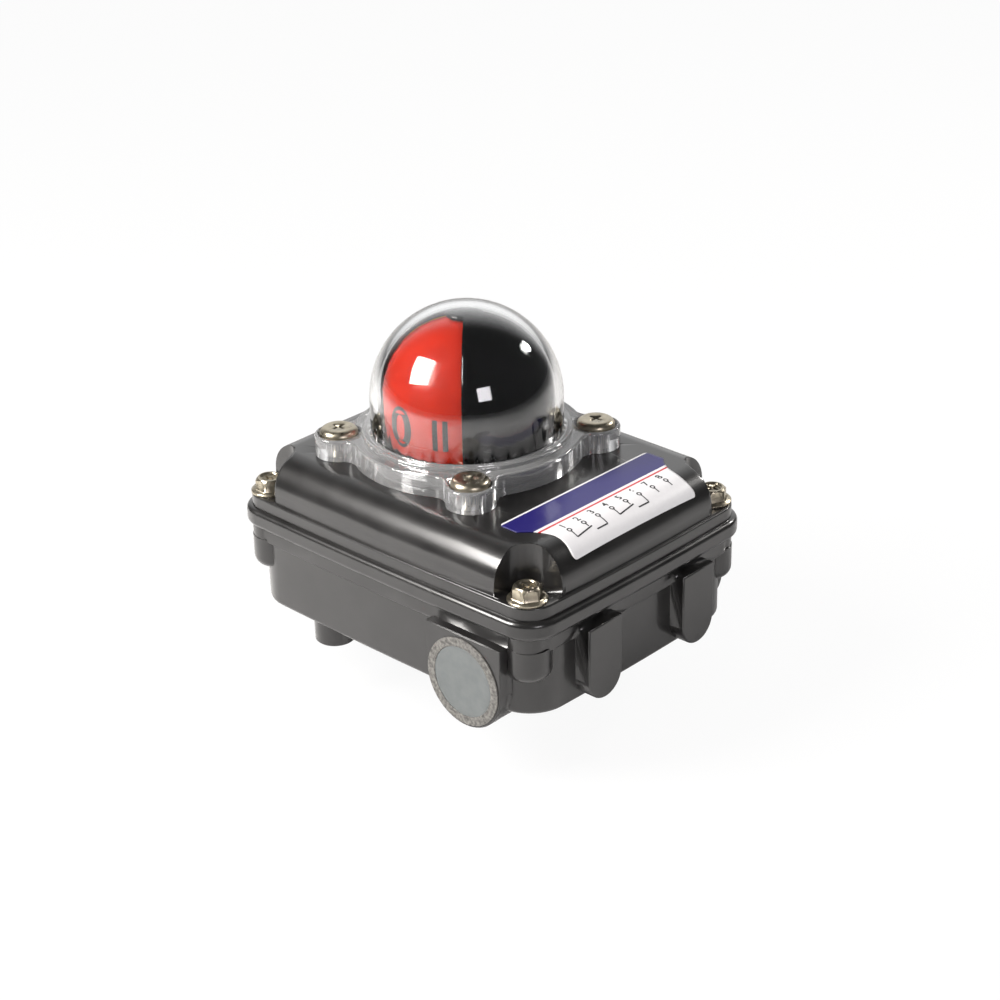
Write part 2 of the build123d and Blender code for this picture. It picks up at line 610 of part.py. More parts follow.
def cover_bolts():
    """Four hexagon flange bolts with a cross recess."""
    bolts = []
    for x, y in bolt_places():
        flange = rod(x, y, POCKET_Z, POCKET_Z + BOLT_FLANGE_HEIGHT, BOLT_FLANGE_R)
        flange = chamfer(flange.edges().sort_by(Axis.Z)[-1], 0.6)
        hexagon = RegularPolygon(BOLT_HEAD_AF / 2, 6, major_radius=False)
        head = extrude(Pos(x, y, POCKET_Z + 0.4) * hexagon, BOLT_HEAD_HEIGHT - 0.4)
        crown = rod(x, y, POCKET_Z, POCKET_Z + BOLT_HEAD_HEIGHT, BOLT_HEAD_AF / 2 + 0.45)
        crown = chamfer(crown.edges().sort_by(Axis.Z)[-1], 0.9)
        head = head & crown
        dish = rod(x, y, POCKET_Z + BOLT_HEAD_HEIGHT - 0.5, POCKET_Z + BOLT_HEAD_HEIGHT + 1, 2.9)
        shank = rod(x, y, POCKET_Z - BOLT_REACH + 1, POCKET_Z + 0.5, BOLT_R)
        bolts.append(flange + head + shank - dish)
    return Compound(children=[Part() + bolt for bolt in bolts])


# ---------------------------------------------------------------- shaft and bearings
def main_shaft():
    """Stepped shaft from the coupling end below the feet up into the indicator."""
    shaft = rod(SHAFT_X, 0, SHAFT_BOTTOM_Z, SHAFT_BOTTOM_Z + SHAFT_END_LENGTH, SHAFT_END_R)
    shaft = chamfer(shaft.edges().sort_by(Axis.Z)[0], 0.6)
    shaft += rod(SHAFT_X, 0, SHAFT_BOTTOM_Z + SHAFT_END_LENGTH, SHAFT_SHOULDER_Z, SHAFT_R)
    shaft += rod(SHAFT_X, 0, SHAFT_SHOULDER_Z, SPINDLE_SHOULDER_Z, CAM_SEAT_R)
    shaft += rod(SHAFT_X, 0, SPINDLE_SHOULDER_Z, SHAFT_TOP_Z, SPINDLE_R)
    flat_x = SHAFT_X + SHAFT_END_R - SHAFT_END_FLAT
    shaft -= block(flat_x, flat_x + 5, -10, 10, SHAFT_BOTTOM_Z - 1, SHAFT_BOTTOM_Z + SHAFT_END_LENGTH)
    clip = ring(SHAFT_X, 0, BUSH_TOP_Z + 0.5, BUSH_TOP_Z + 1.6, SHAFT_R + 1, SHAFT_R - 0.6)
    return shaft - clip


def retaining_ring():
    """Open snap ring in the shaft groove above the lower bush."""
    clip = ring(SHAFT_X, 0, BUSH_TOP_Z + 0.55, BUSH_TOP_Z + 1.55, SHAFT_R + 1.8, SHAFT_R - 0.55)
    return clip - block(SHAFT_X, SHAFT_X + 12, -2.5, 2.5, BUSH_TOP_Z, BUSH_TOP_Z + 3)


def lower_bush():
    """Flanged bronze bush in the base."""
    tube = ring(SHAFT_X, 0, BUSH_BOTTOM_Z, BUSH_TOP_Z - 0.5, BUSH_R, SHAFT_R + RUN_CLEARANCE)
    flange = ring(SHAFT_X, 0, BUSH_TOP_Z - BUSH_FLANGE_HEIGHT, BUSH_TOP_Z,
                  BUSH_FLANGE_R, SHAFT_R + RUN_CLEARANCE)
    return tube + flange


def upper_bush():
    """Plain bush in the cover's boss."""
    return ring(SHAFT_X, 0, UPPER_BOSS_Z + 1, COVER_TOP_Z, UPPER_BUSH_R, SPINDLE_R + RUN_CLEARANCE)


def shaft_seal():
    """O-ring in the gland under the lower bush."""
    radius = SHAFT_R + RUN_CLEARANCE + SHAFT_SEAL_SECTION_R
    return Pos(SHAFT_X, 0, SHAFT_SEAL_Z) * Torus(radius, SHAFT_SEAL_SECTION_R)


def seal_retainer():
    """Pressed ring that keeps the O-ring in the collar."""
    outer = SHAFT_R + 2 * SHAFT_SEAL_SECTION_R + 0.3
    return ring(SHAFT_X, 0, SHAFT_COLLAR_Z, SHAFT_COLLAR_Z + 2.0, outer, SHAFT_R + 0.3)


# ---------------------------------------------------------------- cams
def cam(centre_z, pressed_at_end):
    """Cam with a linear quarter-turn ramp, a raised dwell and a toothed hub."""
    high = CAM_LOW_R + CAM_RISE
    middle = CAM_LOW_R + CAM_RISE / 2

    def at(angle, radius):
        return (radius * cos(radians(angle)), radius * sin(radians(angle)))

    start, end = (180, 90) if pressed_at_end else (90, 180)
    far = end - 25 if pressed_at_end else end + 25
    mid_far = (end + far) / 2
    back = start + 180 - 45 if pressed_at_end else start - 180 + 45
    ramp = ThreePointArc(at(start, CAM_LOW_R), at(135, middle), at(end, high))
    dwell = ThreePointArc(at(end, high), at(mid_far, high), at(far, high))
    drop = Line(at(far, high), at(far, CAM_LOW_R))
    rest = ThreePointArc(at(far, CAM_LOW_R), at(back, CAM_LOW_R), at(start, CAM_LOW_R))
    outline = make_face([ramp, dwell, drop, rest])
    bottom = centre_z - CAM_THICKNESS / 2
    disc = extrude(Pos(SHAFT_X, 0, bottom) * outline, CAM_THICKNESS)
    notches = PolarLocations(CAM_HUB_R + 0.6, 12)
    hub = rod(SHAFT_X, 0, bottom, bottom + CAM_THICKNESS + CAM_HUB_STEP, CAM_HUB_R)
    for place in notches:
        hub -= Pos(SHAFT_X, 0, bottom + CAM_THICKNESS + 0.7) * place * Cylinder(1.1, 1.4)
    return disc + hub - rod(SHAFT_X, 0, 0, 60, CAM_SEAT_R + CAM_FIT)


def cam_spring(bottom, top):
    """Helical spring that presses on a cam."""
    rise = top - bottom - 2 * SPRING_WIRE_R
    path = Helix(pitch=rise / SPRING_TURNS, height=rise, radius=SPRING_R)
    section = Plane(origin=path @ 0, z_dir=path % 0) * Circle(SPRING_WIRE_R)
    coil = sweep(section, path=path)
    return Pos(SHAFT_X, 0, bottom + SPRING_WIRE_R) * coil


def cam_collar():
    """Collar under the spindle shoulder that closes the cam stack."""
    top = SPINDLE_SHOULDER_Z - COLLAR_GAP
    return ring(SHAFT_X, 0, top - COLLAR_HEIGHT, top, COLLAR_R, CAM_SEAT_R + CAM_FIT)


# ---------------------------------------------------------------- switches
def switch_holes(bottom, top, radius):
    """The two mounting holes of a switch."""
    x = SWITCH_FACE_X - SWITCH_DEPTH + 3.0
    holes = []
    for side in (-1, 1):
        holes.append(rod(x, SWITCH_Y + side * SWITCH_HOLE_SPACING / 2, bottom, top, radius))
    return holes


def ear_places(middle):
    """Mid heights of the two ears that carry the lever's pin."""
    reach = (LEVER_WIDTH + LEVER_EAR_THICKNESS) / 2 + LEVER_SIDE_GAP
    return [middle - reach, middle + reach]


def microswitch(bottom):
    """Switch body with its terminals on the rear and ears for the lever pivot."""
    top = bottom + SWITCH_THICKNESS
    middle = (bottom + top) / 2
    x1 = SWITCH_FACE_X
    x0 = x1 - SWITCH_DEPTH
    y0 = SWITCH_Y - SWITCH_LENGTH / 2
    y1 = SWITCH_Y + SWITCH_LENGTH / 2
    body = block(x0, x1, y0, y1, bottom, top)
    body = chamfer(body.edges().filter_by(Axis.Z), 1.0)
    ear_half = LEVER_EAR_THICKNESS / 2
    for z in ear_places(middle):
        body += block(x1 - 1, LEVER_PIVOT_X + 1.1, LEVER_PIVOT_Y - 1.3, LEVER_PIVOT_Y + 1.3,
                      z - ear_half, z + ear_half)
    for y in (SWITCH_Y - 9, SWITCH_Y, SWITCH_Y + 9):
        body += block(x0 - 6.5, x0 + 1, y - 2.4, y + 2.4, middle - 0.4, middle + 0.4)
    for hole in switch_holes(bottom - 1, top + 1, SWITCH_HOLE_R):
        body -= hole
    body -= rod(LEVER_PIVOT_X, LEVER_PIVOT_Y, bottom, top, LEVER_PIN_R + 0.02)
    body -= Pos(x1, PLUNGER_Y, middle) * Rot(0, 90, 0) * Cylinder(PLUNGER_R + PLUNGER_FIT, 5.0)
    return body


def lever_pin(bottom):
    """Hinge pin of a switch lever, held in the two ears."""
    middle = bottom + SWITCH_THICKNESS / 2
    low, high = ear_places(middle)
    ear_half = LEVER_EAR_THICKNESS / 2
    return rod(LEVER_PIVOT_X, LEVER_PIVOT_Y, low - ear_half, high + ear_half, LEVER_PIN_R)


def blade_line():
    """Start, end and direction of the blade's middle line, tangent to the tip's curl."""
    run_x = LEVER_TIP_X - LEVER_PIVOT_X
    run_y = -LEVER_PIVOT_Y
    length = hypot(run_x, run_y)
    curl_r = LEVER_TIP_R - LEVER_THICKNESS / 2
    heading = atan2(run_y, run_x) - asin(curl_r / length)
    reach = sqrt(length ** 2 - curl_r ** 2)
    start = Vector(LEVER_PIVOT_X, LEVER_PIVOT_Y)
    direction = Vector(cos(heading), sin(heading))
    return start, start + direction * reach, direction


def switch_plunger(bottom, pressed):
    """Button under the lever, pushed in where the cam presses the lever at rest."""
    middle = bottom + SWITCH_THICKNESS / 2
    direction = blade_line()[2]
    along = (LEVER_PIVOT_Y - PLUNGER_Y) / -direction.Y
    blade_x = LEVER_PIVOT_X + direction.X * along - LEVER_THICKNESS / 2
    tip_x = blade_x - PLUNGER_FIT
    length = tip_x - SWITCH_FACE_X + 1.6
    pin = Pos(tip_x - length / 2, PLUNGER_Y, middle) * Rot(0, 90, 0) * Cylinder(PLUNGER_R, length)
    pin = fillet(pin.edges().sort_by(Axis.X)[-1], 0.3)
    travel = radians(LEVER_SWING) * (LEVER_PIVOT_Y - PLUNGER_Y)
    return Pos(-travel if pressed else 0, 0, 0) * pin


def switch_lever(bottom, pressed):
    """Spring-steel lever with a curled tip that follows the cam."""
    middle = bottom + SWITCH_THICKNESS / 2
    start, end, direction = blade_line()
    side = Vector(-direction.Y, direction.X) * (LEVER_THICKNESS / 2)
    corners = [start + side, end + side, end - side, start - side]
    blade = make_face(Polyline([(c.X, c.Y) for c in corners], close=True))
    curl = Pos(LEVER_TIP_X, 0) * (Circle(LEVER_TIP_R) - Circle(LEVER_TIP_R - LEVER_THICKNESS))
    eye = Pos(LEVER_PIVOT_X, LEVER_PIVOT_Y) * Circle(LEVER_EYE_R)
    hole = Pos(LEVER_PIVOT_X, LEVER_PIVOT_Y) * Circle(LEVER_PIN_R + LEVER_PIN_FIT)
    plan = blade + curl + eye - hole
    plate = extrude(Pos(0, 0, middle - LEVER_WIDTH / 2) * plan, LEVER_WIDTH)
    turn = -LEVER_SWING if pressed else 0
    to_pivot = Pos(LEVER_PIVOT_X, LEVER_PIVOT_Y, 0)
    back = Pos(-LEVER_PIVOT_X, -LEVER_PIVOT_Y, 0)
    return to_pivot * Rot(0, 0, turn) * back * plate


def switch_bracket():
    """Bent sheet plate on two legs that carries both switches."""
    top = SWITCH_BOTTOM_Z
    x1 = SWITCH_FACE_X - 1.5
    x0 = SWITCH_FACE_X - SWITCH_DEPTH - 1.5
    plate = block(x0, x1, -BRACKET_LEG_Y, BRACKET_LEG_Y, top - BRACKET_THICKNESS, top)
    for side in (-1, 1):
        y_in = side * (BRACKET_LEG_Y - BRACKET_THICKNESS)
        y_out = side * BRACKET_LEG_Y
        lo, hi = sorted((y_in, y_out))
        plate += block(x0, x1, lo, hi, CAVITY_FLOOR_Z, top)
        y_foot = side * (BRACKET_LEG_Y + BRACKET_FOOT_LENGTH)
        lo, hi = sorted((y_in, y_foot))
        plate += block(x0 + 3, x1 - 3, lo, hi, CAVITY_FLOOR_Z, CAVITY_FLOOR_Z + BRACKET_THICKNESS)
    for x, y in bracket_screw_places():
        plate -= rod(x, y, CAVITY_FLOOR_Z - 1, CAVITY_FLOOR_Z + 3, BRACKET_SCREW_R + 0.15)
    for hole in switch_holes(top - 5, top + 1, BRACKET_SCREW_R + THREAD_GAP):
        plate -= hole
    return plate


def switch_spacer():
    """Insulating sheet between the two switches."""
    bottom = SWITCH_BOTTOM_Z + SWITCH_THICKNESS
    x1 = SWITCH_FACE_X - 0.5
    x0 = SWITCH_FACE_X - SWITCH_DEPTH - 4
    half = SWITCH_LENGTH / 2
    sheet = block(x0, x1, SWITCH_Y - half, SWITCH_Y + half, bottom, bottom + SWITCH_SPACER)
    for hole in switch_holes(bottom - 1, bottom + 3, SWITCH_HOLE_R):
        sheet -= hole
    return sheet


def pan_screw(x, y, seat, reach, radius, head_r=SMALL_HEAD_R, head_height=SMALL_HEAD_HEIGHT):
    """Small pan-head screw, head up."""
    head = rod(x, y, seat, seat + head_height, head_r)
    head = fillet(head.edges().sort_by(Axis.Z)[-1], head_height * 0.4)
    head -= Pos(x, y, seat + head_height) * Box(2 * head_r + 1, 0.8, head_height * 0.6)
    return head + rod(x, y, seat - reach, seat + 0.2, radius)


def switch_screws():
    """Two long screws through both switches into the bracket."""
    top = SWITCH_BOTTOM_Z + 2 * SWITCH_THICKNESS + SWITCH_SPACER
    x = SWITCH_FACE_X - SWITCH_DEPTH + 3.0
    screws = []
    for side in (-1, 1):
        y = SWITCH_Y + side * SWITCH_HOLE_SPACING / 2
        screws.append(pan_screw(x, y, top, top - SWITCH_BOTTOM_Z + BRACKET_THICKNESS, BRACKET_SCREW_R))
    return Compound(children=[Part() + screw for screw in screws])


def bracket_screw_places():
    """Centres of the two screws in the bracket's feet."""
    x = SWITCH_FACE_X - SWITCH_DEPTH / 2 - 1.5
    y = BRACKET_LEG_Y + BRACKET_FOOT_LENGTH - BRACKET_SCREW_INSET
    return [(x, -y), (x, y)]


def bracket_screws():
    """Two screws that hold the bracket to the base."""
    seat = CAVITY_FLOOR_Z + BRACKET_THICKNESS
    screws = []
    for x, y in bracket_screw_places():
        screws.append(pan_screw(x, y, seat, BRACKET_SCREW_REACH, BRACKET_SCREW_R))
    return Compound(children=[Part() + screw for screw in screws])


# ---------------------------------------------------------------- wiring
def terminal_length():
    """Length of the strip over its cells."""
    return TERMINAL_COUNT * TERMINAL_PITCH


def terminal_screw_places():
    """Centres of the two screws in the strip's ears."""
    reach = terminal_length() / 2 + TERMINAL_EAR_LENGTH / 2
    return [(TERMINAL_X, -reach), (TERMINAL_X, reach)]


def terminal_strip():
    """Barrier terminal strip with a row of cells and a screw ear at each end."""
    half = terminal_length() / 2
    x0 = TERMINAL_X - TERMINAL_DEPTH / 2
    x1 = TERMINAL_X + TERMINAL_DEPTH / 2
    low = TERMINAL_SEAT_Z
    body = block(x0, x1, -half, half, low, low + TERMINAL_HEIGHT)
    ear_y = half + TERMINAL_EAR_LENGTH
    body += block(TERMINAL_X - TERMINAL_EAR_HALF_WIDTH, TERMINAL_X + TERMINAL_EAR_HALF_WIDTH, -ear_y, ear_y,
                  low, low + TERMINAL_EAR_HEIGHT)
    cell = TERMINAL_PITCH - TERMINAL_RIB
    for i in range(TERMINAL_COUNT):
        y = -half + (i + 0.5) * TERMINAL_PITCH
        for sx in (-1, 1):
            outer = TERMINAL_X + sx * (TERMINAL_DEPTH / 2 + 1)
            inner = TERMINAL_X + sx * 1.2
            lo, hi = sorted((inner, outer))
            body -= block(lo, hi, y - cell / 2, y + cell / 2,
                          low + TERMINAL_CELL_FLOOR, low + TERMINAL_HEIGHT + 1)
    for x, y in terminal_screw_places():
        body -= rod(x, y, low - 1, low + 4, BRACKET_SCREW_R + 0.15)
    return body


def terminal_clamps():
    """Clamping screws of the strip, one on each side of every cell."""
    half = terminal_length() / 2
    seat = TERMINAL_SEAT_Z + TERMINAL_CELL_FLOOR
    screws = []
    for i in range(TERMINAL_COUNT):
        y = -half + (i + 0.5) * TERMINAL_PITCH
        for sx in (-1, 1):
            x = TERMINAL_X + sx * TERMINAL_DEPTH / 4
            head = rod(x, y, seat, seat + TERMINAL_CLAMP_HEIGHT, TERMINAL_SCREW_R)
            slot = Pos(x, y, seat + TERMINAL_CLAMP_HEIGHT) * Box(3 * TERMINAL_SCREW_R, 0.7, 1.4)
            screws.append(head - slot)
    return Compound(children=[Part() + screw for screw in screws])


def terminal_screws():
    """Two screws that hold the strip to its bosses."""
    seat = TERMINAL_SEAT_Z + TERMINAL_EAR_HEIGHT
    screws = []
    for x, y in terminal_screw_places():
        screws.append(pan_screw(x, y, seat, TERMINAL_SCREW_REACH, BRACKET_SCREW_R))
    return Compound(children=[Part() + screw for screw in screws])


def earth_screw():
    """Earth screw on its boss in the base."""
    seat = CAVITY_FLOOR_Z + EARTH_BOSS_HEIGHT
    return pan_screw(EARTH_X, EARTH_Y, seat, EARTH_SCREW_REACH, EARTH_SCREW_R, EARTH_HEAD_R, EARTH_HEAD_HEIGHT)


def blanking_plug():
    """Hexagon plug that closes the rear conduit entry."""
    plane = Plane.XZ.offset(-CONDUIT_PAD_Y)
    centre = Pos(PAD_X, CONDUIT_Z)
    thread = extrude(plane * centre * Circle(CONDUIT_MINOR_R - PLUG_THREAD_GAP), CONDUIT_THREAD_LENGTH - 2)
    flange = extrude(plane * centre * Circle(PLUG_FLANGE_R), -PLUG_FLANGE_HEIGHT)
    hexagon = extrude(plane * centre * RegularPolygon(PLUG_HEX_R, 6, major_radius=False), -PLUG_HEIGHT)
    return thread + flange + hexagon


# ---------------------------------------------------------------- output
LOWER_SWITCH_Z = SWITCH_BOTTOM_Z
UPPER_SWITCH_Z = SWITCH_BOTTOM_Z + SWITCH_THICKNESS + SWITCH_SPACER
CAM_TOP = CAM_THICKNESS / 2 + CAM_HUB_STEP
COLLAR_BOTTOM_Z = SPINDLE_SHOULDER_Z - COLLAR_GAP - COLLAR_HEIGHT
NODES = {
    "base_housing": base_housing,
    "cover_housing": cover_housing,
    "cover_seal": lambda: seal_ring(0, SPLIT_Z - SEAL_HEIGHT, SPLIT_Z),
    "cover_bolts": cover_bolts,
    "label_plate": label_plate,
    "indicator_dome": indicator_dome,
    "indicator_shroud": indicator_shroud,
    "indicator_drum": indicator_drum,
    "dome_seal": dome_seal,
    "dome_screws": dome_screws,
    "main_shaft": main_shaft,
    "retaining_ring": retaining_ring,
    "lower_bush": lower_bush,
    "upper_bush": upper_bush,
    "shaft_seal": shaft_seal,
    "seal_retainer": seal_retainer,
    "lower_cam": lambda: cam(LOWER_CAM_Z, True),
    "upper_cam": lambda: cam(UPPER_CAM_Z, False),
    "lower_cam_spring": lambda: cam_spring(LOWER_CAM_Z + CAM_TOP, UPPER_CAM_Z - CAM_THICKNESS / 2),
    "upper_cam_spring": lambda: cam_spring(UPPER_CAM_Z + CAM_TOP, COLLAR_BOTTOM_Z),
    "cam_collar": cam_collar,
    "lower_switch": lambda: microswitch(LOWER_SWITCH_Z),
    "upper_switch": lambda: microswitch(UPPER_SWITCH_Z),
    "lower_switch_plunger": lambda: switch_plunger(LOWER_SWITCH_Z, False),
    "upper_switch_plunger": lambda: switch_plunger(UPPER_SWITCH_Z, True),
    "lower_switch_lever": lambda: switch_lever(LOWER_SWITCH_Z, False),
    "upper_switch_lever": lambda: switch_lever(UPPER_SWITCH_Z, True),
    "lower_lever_pin": lambda: lever_pin(LOWER_SWITCH_Z),
    "upper_lever_pin": lambda: lever_pin(UPPER_SWITCH_Z),
    "switch_spacer": switch_spacer,
    "switch_bracket": switch_bracket,
    "switch_screws": switch_screws,
    "bracket_screws": bracket_screws,
    "terminal_strip": terminal_strip,
    "terminal_clamps": terminal_clamps,
    "terminal_screws": terminal_screws,
    "earth_screw": earth_screw,
    "blanking_plug": blanking_plug,
}

for name, make in NODES.items():
    shape = make()
    export_step(shape, f"parts/{name}.step")
    print(name, round(shape.volume, 1))
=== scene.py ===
import json
import bmesh
import bpy
import numpy as np
from mathutils import Matrix, Vector


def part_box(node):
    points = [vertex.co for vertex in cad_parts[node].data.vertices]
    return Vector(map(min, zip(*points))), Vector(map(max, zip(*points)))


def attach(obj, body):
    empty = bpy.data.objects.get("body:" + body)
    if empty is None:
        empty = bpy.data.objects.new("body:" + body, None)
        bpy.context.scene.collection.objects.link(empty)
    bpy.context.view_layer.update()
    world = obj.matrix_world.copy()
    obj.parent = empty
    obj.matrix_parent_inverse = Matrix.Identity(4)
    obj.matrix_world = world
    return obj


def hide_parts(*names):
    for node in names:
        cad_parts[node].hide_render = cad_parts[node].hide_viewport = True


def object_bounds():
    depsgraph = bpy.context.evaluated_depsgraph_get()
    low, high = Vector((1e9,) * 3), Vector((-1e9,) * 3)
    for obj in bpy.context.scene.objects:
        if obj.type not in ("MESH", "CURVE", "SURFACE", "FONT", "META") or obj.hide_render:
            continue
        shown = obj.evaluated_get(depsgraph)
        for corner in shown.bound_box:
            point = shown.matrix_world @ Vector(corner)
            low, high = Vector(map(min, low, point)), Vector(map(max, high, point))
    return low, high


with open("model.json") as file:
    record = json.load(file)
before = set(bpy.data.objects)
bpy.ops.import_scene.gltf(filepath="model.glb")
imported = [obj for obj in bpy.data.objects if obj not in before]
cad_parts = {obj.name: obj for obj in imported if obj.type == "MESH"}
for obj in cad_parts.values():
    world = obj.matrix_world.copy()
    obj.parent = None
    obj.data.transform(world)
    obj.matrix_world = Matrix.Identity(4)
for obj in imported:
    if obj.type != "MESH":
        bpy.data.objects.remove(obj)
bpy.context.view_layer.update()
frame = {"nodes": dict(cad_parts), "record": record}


# ---------------------------------------------------------------- cast housing
# The two halves of the box are die-cast aluminium with a satin black powder coat. The cover
# stands on the base with a rubber ring between them, and four corner bolts pull it down.
BODIES = frame["record"]["behaviour"]["bodies"]
BODY_OF = {node: body for body, members in BODIES.items() for node in members}


def tint(colour, gain):
    """A colour with each channel multiplied by the gain, as RGBA."""
    return tuple(min(1.0, c * gain) for c in colour) + (1.0,)


def new_material(name):
    """A node material with its nodes, its links and its Principled shader."""
    material = bpy.data.materials.new(name)
    material.use_nodes = True
    nodes = material.node_tree.nodes
    return material, nodes, material.node_tree.links, nodes["Principled BSDF"]


def finish(name, colour, spread=0.15, grain=400.0, rough=(0.4, 0.5), metal=0.0,
           bump=0.0, bump_grain=2500.0, coat=0.0, stretch=(1.0, 1.0, 1.0)):
    """Surface whose colour wanders by +-spread and whose roughness wanders between two values, both
    following one noise field over Object coordinates. A finer noise field gives the relief."""
    material, nodes, links, shader = new_material(name)
    shader.inputs["Metallic"].default_value = metal
    shader.inputs["Coat Weight"].default_value = coat
    shader.inputs["Coat Roughness"].default_value = 0.12
    place = nodes.new("ShaderNodeTexCoord")
    mapping = nodes.new("ShaderNodeMapping")
    mapping.inputs["Scale"].default_value = stretch
    links.new(place.outputs["Object"], mapping.inputs["Vector"])
    field = nodes.new("ShaderNodeTexNoise")
    field.inputs["Scale"].default_value = grain
    field.inputs["Detail"].default_value = 4.0
    links.new(mapping.outputs["Vector"], field.inputs["Vector"])
    ramp = nodes.new("ShaderNodeValToRGB")
    ramp.color_ramp.elements[0].position = 0.35
    ramp.color_ramp.elements[1].position = 0.65
    ramp.color_ramp.elements[0].color = tint(colour, 1.0 - spread)
    ramp.color_ramp.elements[1].color = tint(colour, 1.0 + spread)
    links.new(field.outputs["Fac"], ramp.inputs["Fac"])
    links.new(ramp.outputs["Color"], shader.inputs["Base Color"])
    spread_rough = nodes.new("ShaderNodeMapRange")
    spread_rough.inputs["From Min"].default_value = 0.3
    spread_rough.inputs["From Max"].default_value = 0.7
    spread_rough.inputs["To Min"].default_value = rough[0]
    spread_rough.inputs["To Max"].default_value = rough[1]
    links.new(field.outputs["Fac"], spread_rough.inputs["Value"])
    links.new(spread_rough.outputs["Result"], shader.inputs["Roughness"])
    if bump:
        fine = nodes.new("ShaderNodeTexNoise")
        fine.inputs["Scale"].default_value = bump_grain
        fine.inputs["Detail"].default_value = 2.0
        links.new(mapping.outputs["Vector"], fine.inputs["Vector"])
        relief = nodes.new("ShaderNodeBump")
        relief.inputs["Strength"].default_value = bump
        relief.inputs["Distance"].default_value = 0.0001
        links.new(fine.outputs["Fac"], relief.inputs["Height"])
        links.new(relief.outputs["Normal"], shader.inputs["Normal"])
    return material


def rounded_copy(node, material, angle=35.0):
    """The node's own shape with its loose triangles joined and shaded round wherever two faces
    meet at less than the angle, in place of the node."""
    mesh = frame["nodes"][node].data.copy()
    mesh.name = node + "_finished"
    shell = bmesh.new()
    shell.from_mesh(mesh)
    bmesh.ops.remove_doubles(shell, verts=shell.verts, dist=2e-6)
    shell.to_mesh(mesh)
    shell.free()
    mesh.materials.clear()
    mesh.materials.append(material)
    mesh.shade_smooth()
    mesh.set_sharp_from_angle(angle=np.radians(angle))
    piece = bpy.data.objects.new(node + "_finished", mesh)
    bpy.context.scene.collection.objects.link(piece)
    even = piece.modifiers.new("flat faces stay flat", "WEIGHTED_NORMAL")
    even.keep_sharp = True
    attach(piece, BODY_OF[node])
    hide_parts(node)
    return piece


def mesh_piece(name, points, faces, material, body, angle=35.0, merge=1e-7):
    """An object from an array of points and a list of faces, with doubles joined and faces turned
    outwards, placed on a body."""
    mesh = bpy.data.meshes.new(name)
    mesh.from_pydata(np.asarray(points).reshape(-1, 3).tolist(), [], faces)
    shell = bmesh.new()
    shell.from_mesh(mesh)
    bmesh.ops.remove_doubles(shell, verts=shell.verts, dist=merge)
    bmesh.ops.recalc_face_normals(shell, faces=shell.faces)
    shell.to_mesh(mesh)
    shell.free()
    mesh.materials.append(material)
    mesh.shade_smooth()
    mesh.set_sharp_from_angle(angle=np.radians(angle))
    piece = bpy.data.objects.new(name, mesh)
    bpy.context.scene.collection.objects.link(piece)
    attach(piece, body)
    return piece


def vertex_places(piece):
    """Places of a piece's vertices, as rows of x, y and z."""
    places = np.empty(len(piece.data.vertices) * 3, dtype=np.float32)
    piece.data.vertices.foreach_get("co", places)
    return places.reshape(-1, 3)


def move_vertices(piece, places):
    """Puts a piece's vertices at new places, given as rows of x, y and z."""
    piece.data.vertices.foreach_set("co", places.ravel())
    piece.data.update()


def grid_faces(rows, columns, closed=False, start=0):
    """Quads between neighbouring rows and columns of a grid of points, joined round when closed."""
    last = columns if closed else columns - 1
    r, c = np.meshgrid(np.arange(rows - 1), np.arange(last), indexing="ij")
    a = start + r * columns + c
    b = start + r * columns + (c + 1) % columns
    return np.stack([a, b, b + columns, a + columns], axis=-1).reshape(-1, 4).tolist()


def turned(profile, centre, axis="Z", steps=64):
    """Points and faces of a profile of (radius, distance along) turned once round an axis through
    the centre. The axis is Z, or -Y for what faces the front."""
    turn = np.linspace(0, 2 * np.pi, steps, endpoint=False)
    radius, along = np.array(profile).T
    a = radius[:, None] * np.cos(turn)
    b = radius[:, None] * np.sin(turn)
    c = np.repeat(along[:, None], steps, axis=1)
    grid = np.stack([a, b, c] if axis == "Z" else [a, -c, b], axis=-1) + np.array(centre)
    return grid.reshape(-1, 3), grid_faces(len(profile), steps, closed=True)


def quarter(centre_r, centre_z, radius, start, stop, steps=8):
    """Points of an arc in a profile between two angles in degrees, as (radius, height) pairs."""
    a = np.radians(np.linspace(start, stop, steps))
    return [(centre_r + radius * np.cos(t), centre_z + radius * np.sin(t)) for t in a]


powder_coat = finish("black powder coat", (0.0125, 0.012, 0.0118), spread=0.25, grain=90.0,
                     rough=(0.28, 0.34), bump=0.12, bump_grain=2200.0, coat=0.6)
base = rounded_copy("base_housing", powder_coat)
rounded_copy("cover_housing", powder_coat)

# The front conduit pad is machined flat, and lies back by the thickness of the dust ring stuck on
# it. The casting's own face there lies a little further back, behind the pad.
PAD_FACE_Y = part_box("base_housing")[0][1]
RING_THICKNESS = 0.00045
BEHIND_PAD = 0.00015
places = vertex_places(base)
places[:, 1] = np.maximum(places[:, 1], PAD_FACE_Y + RING_THICKNESS + BEHIND_PAD)
move_vertices(base, places)

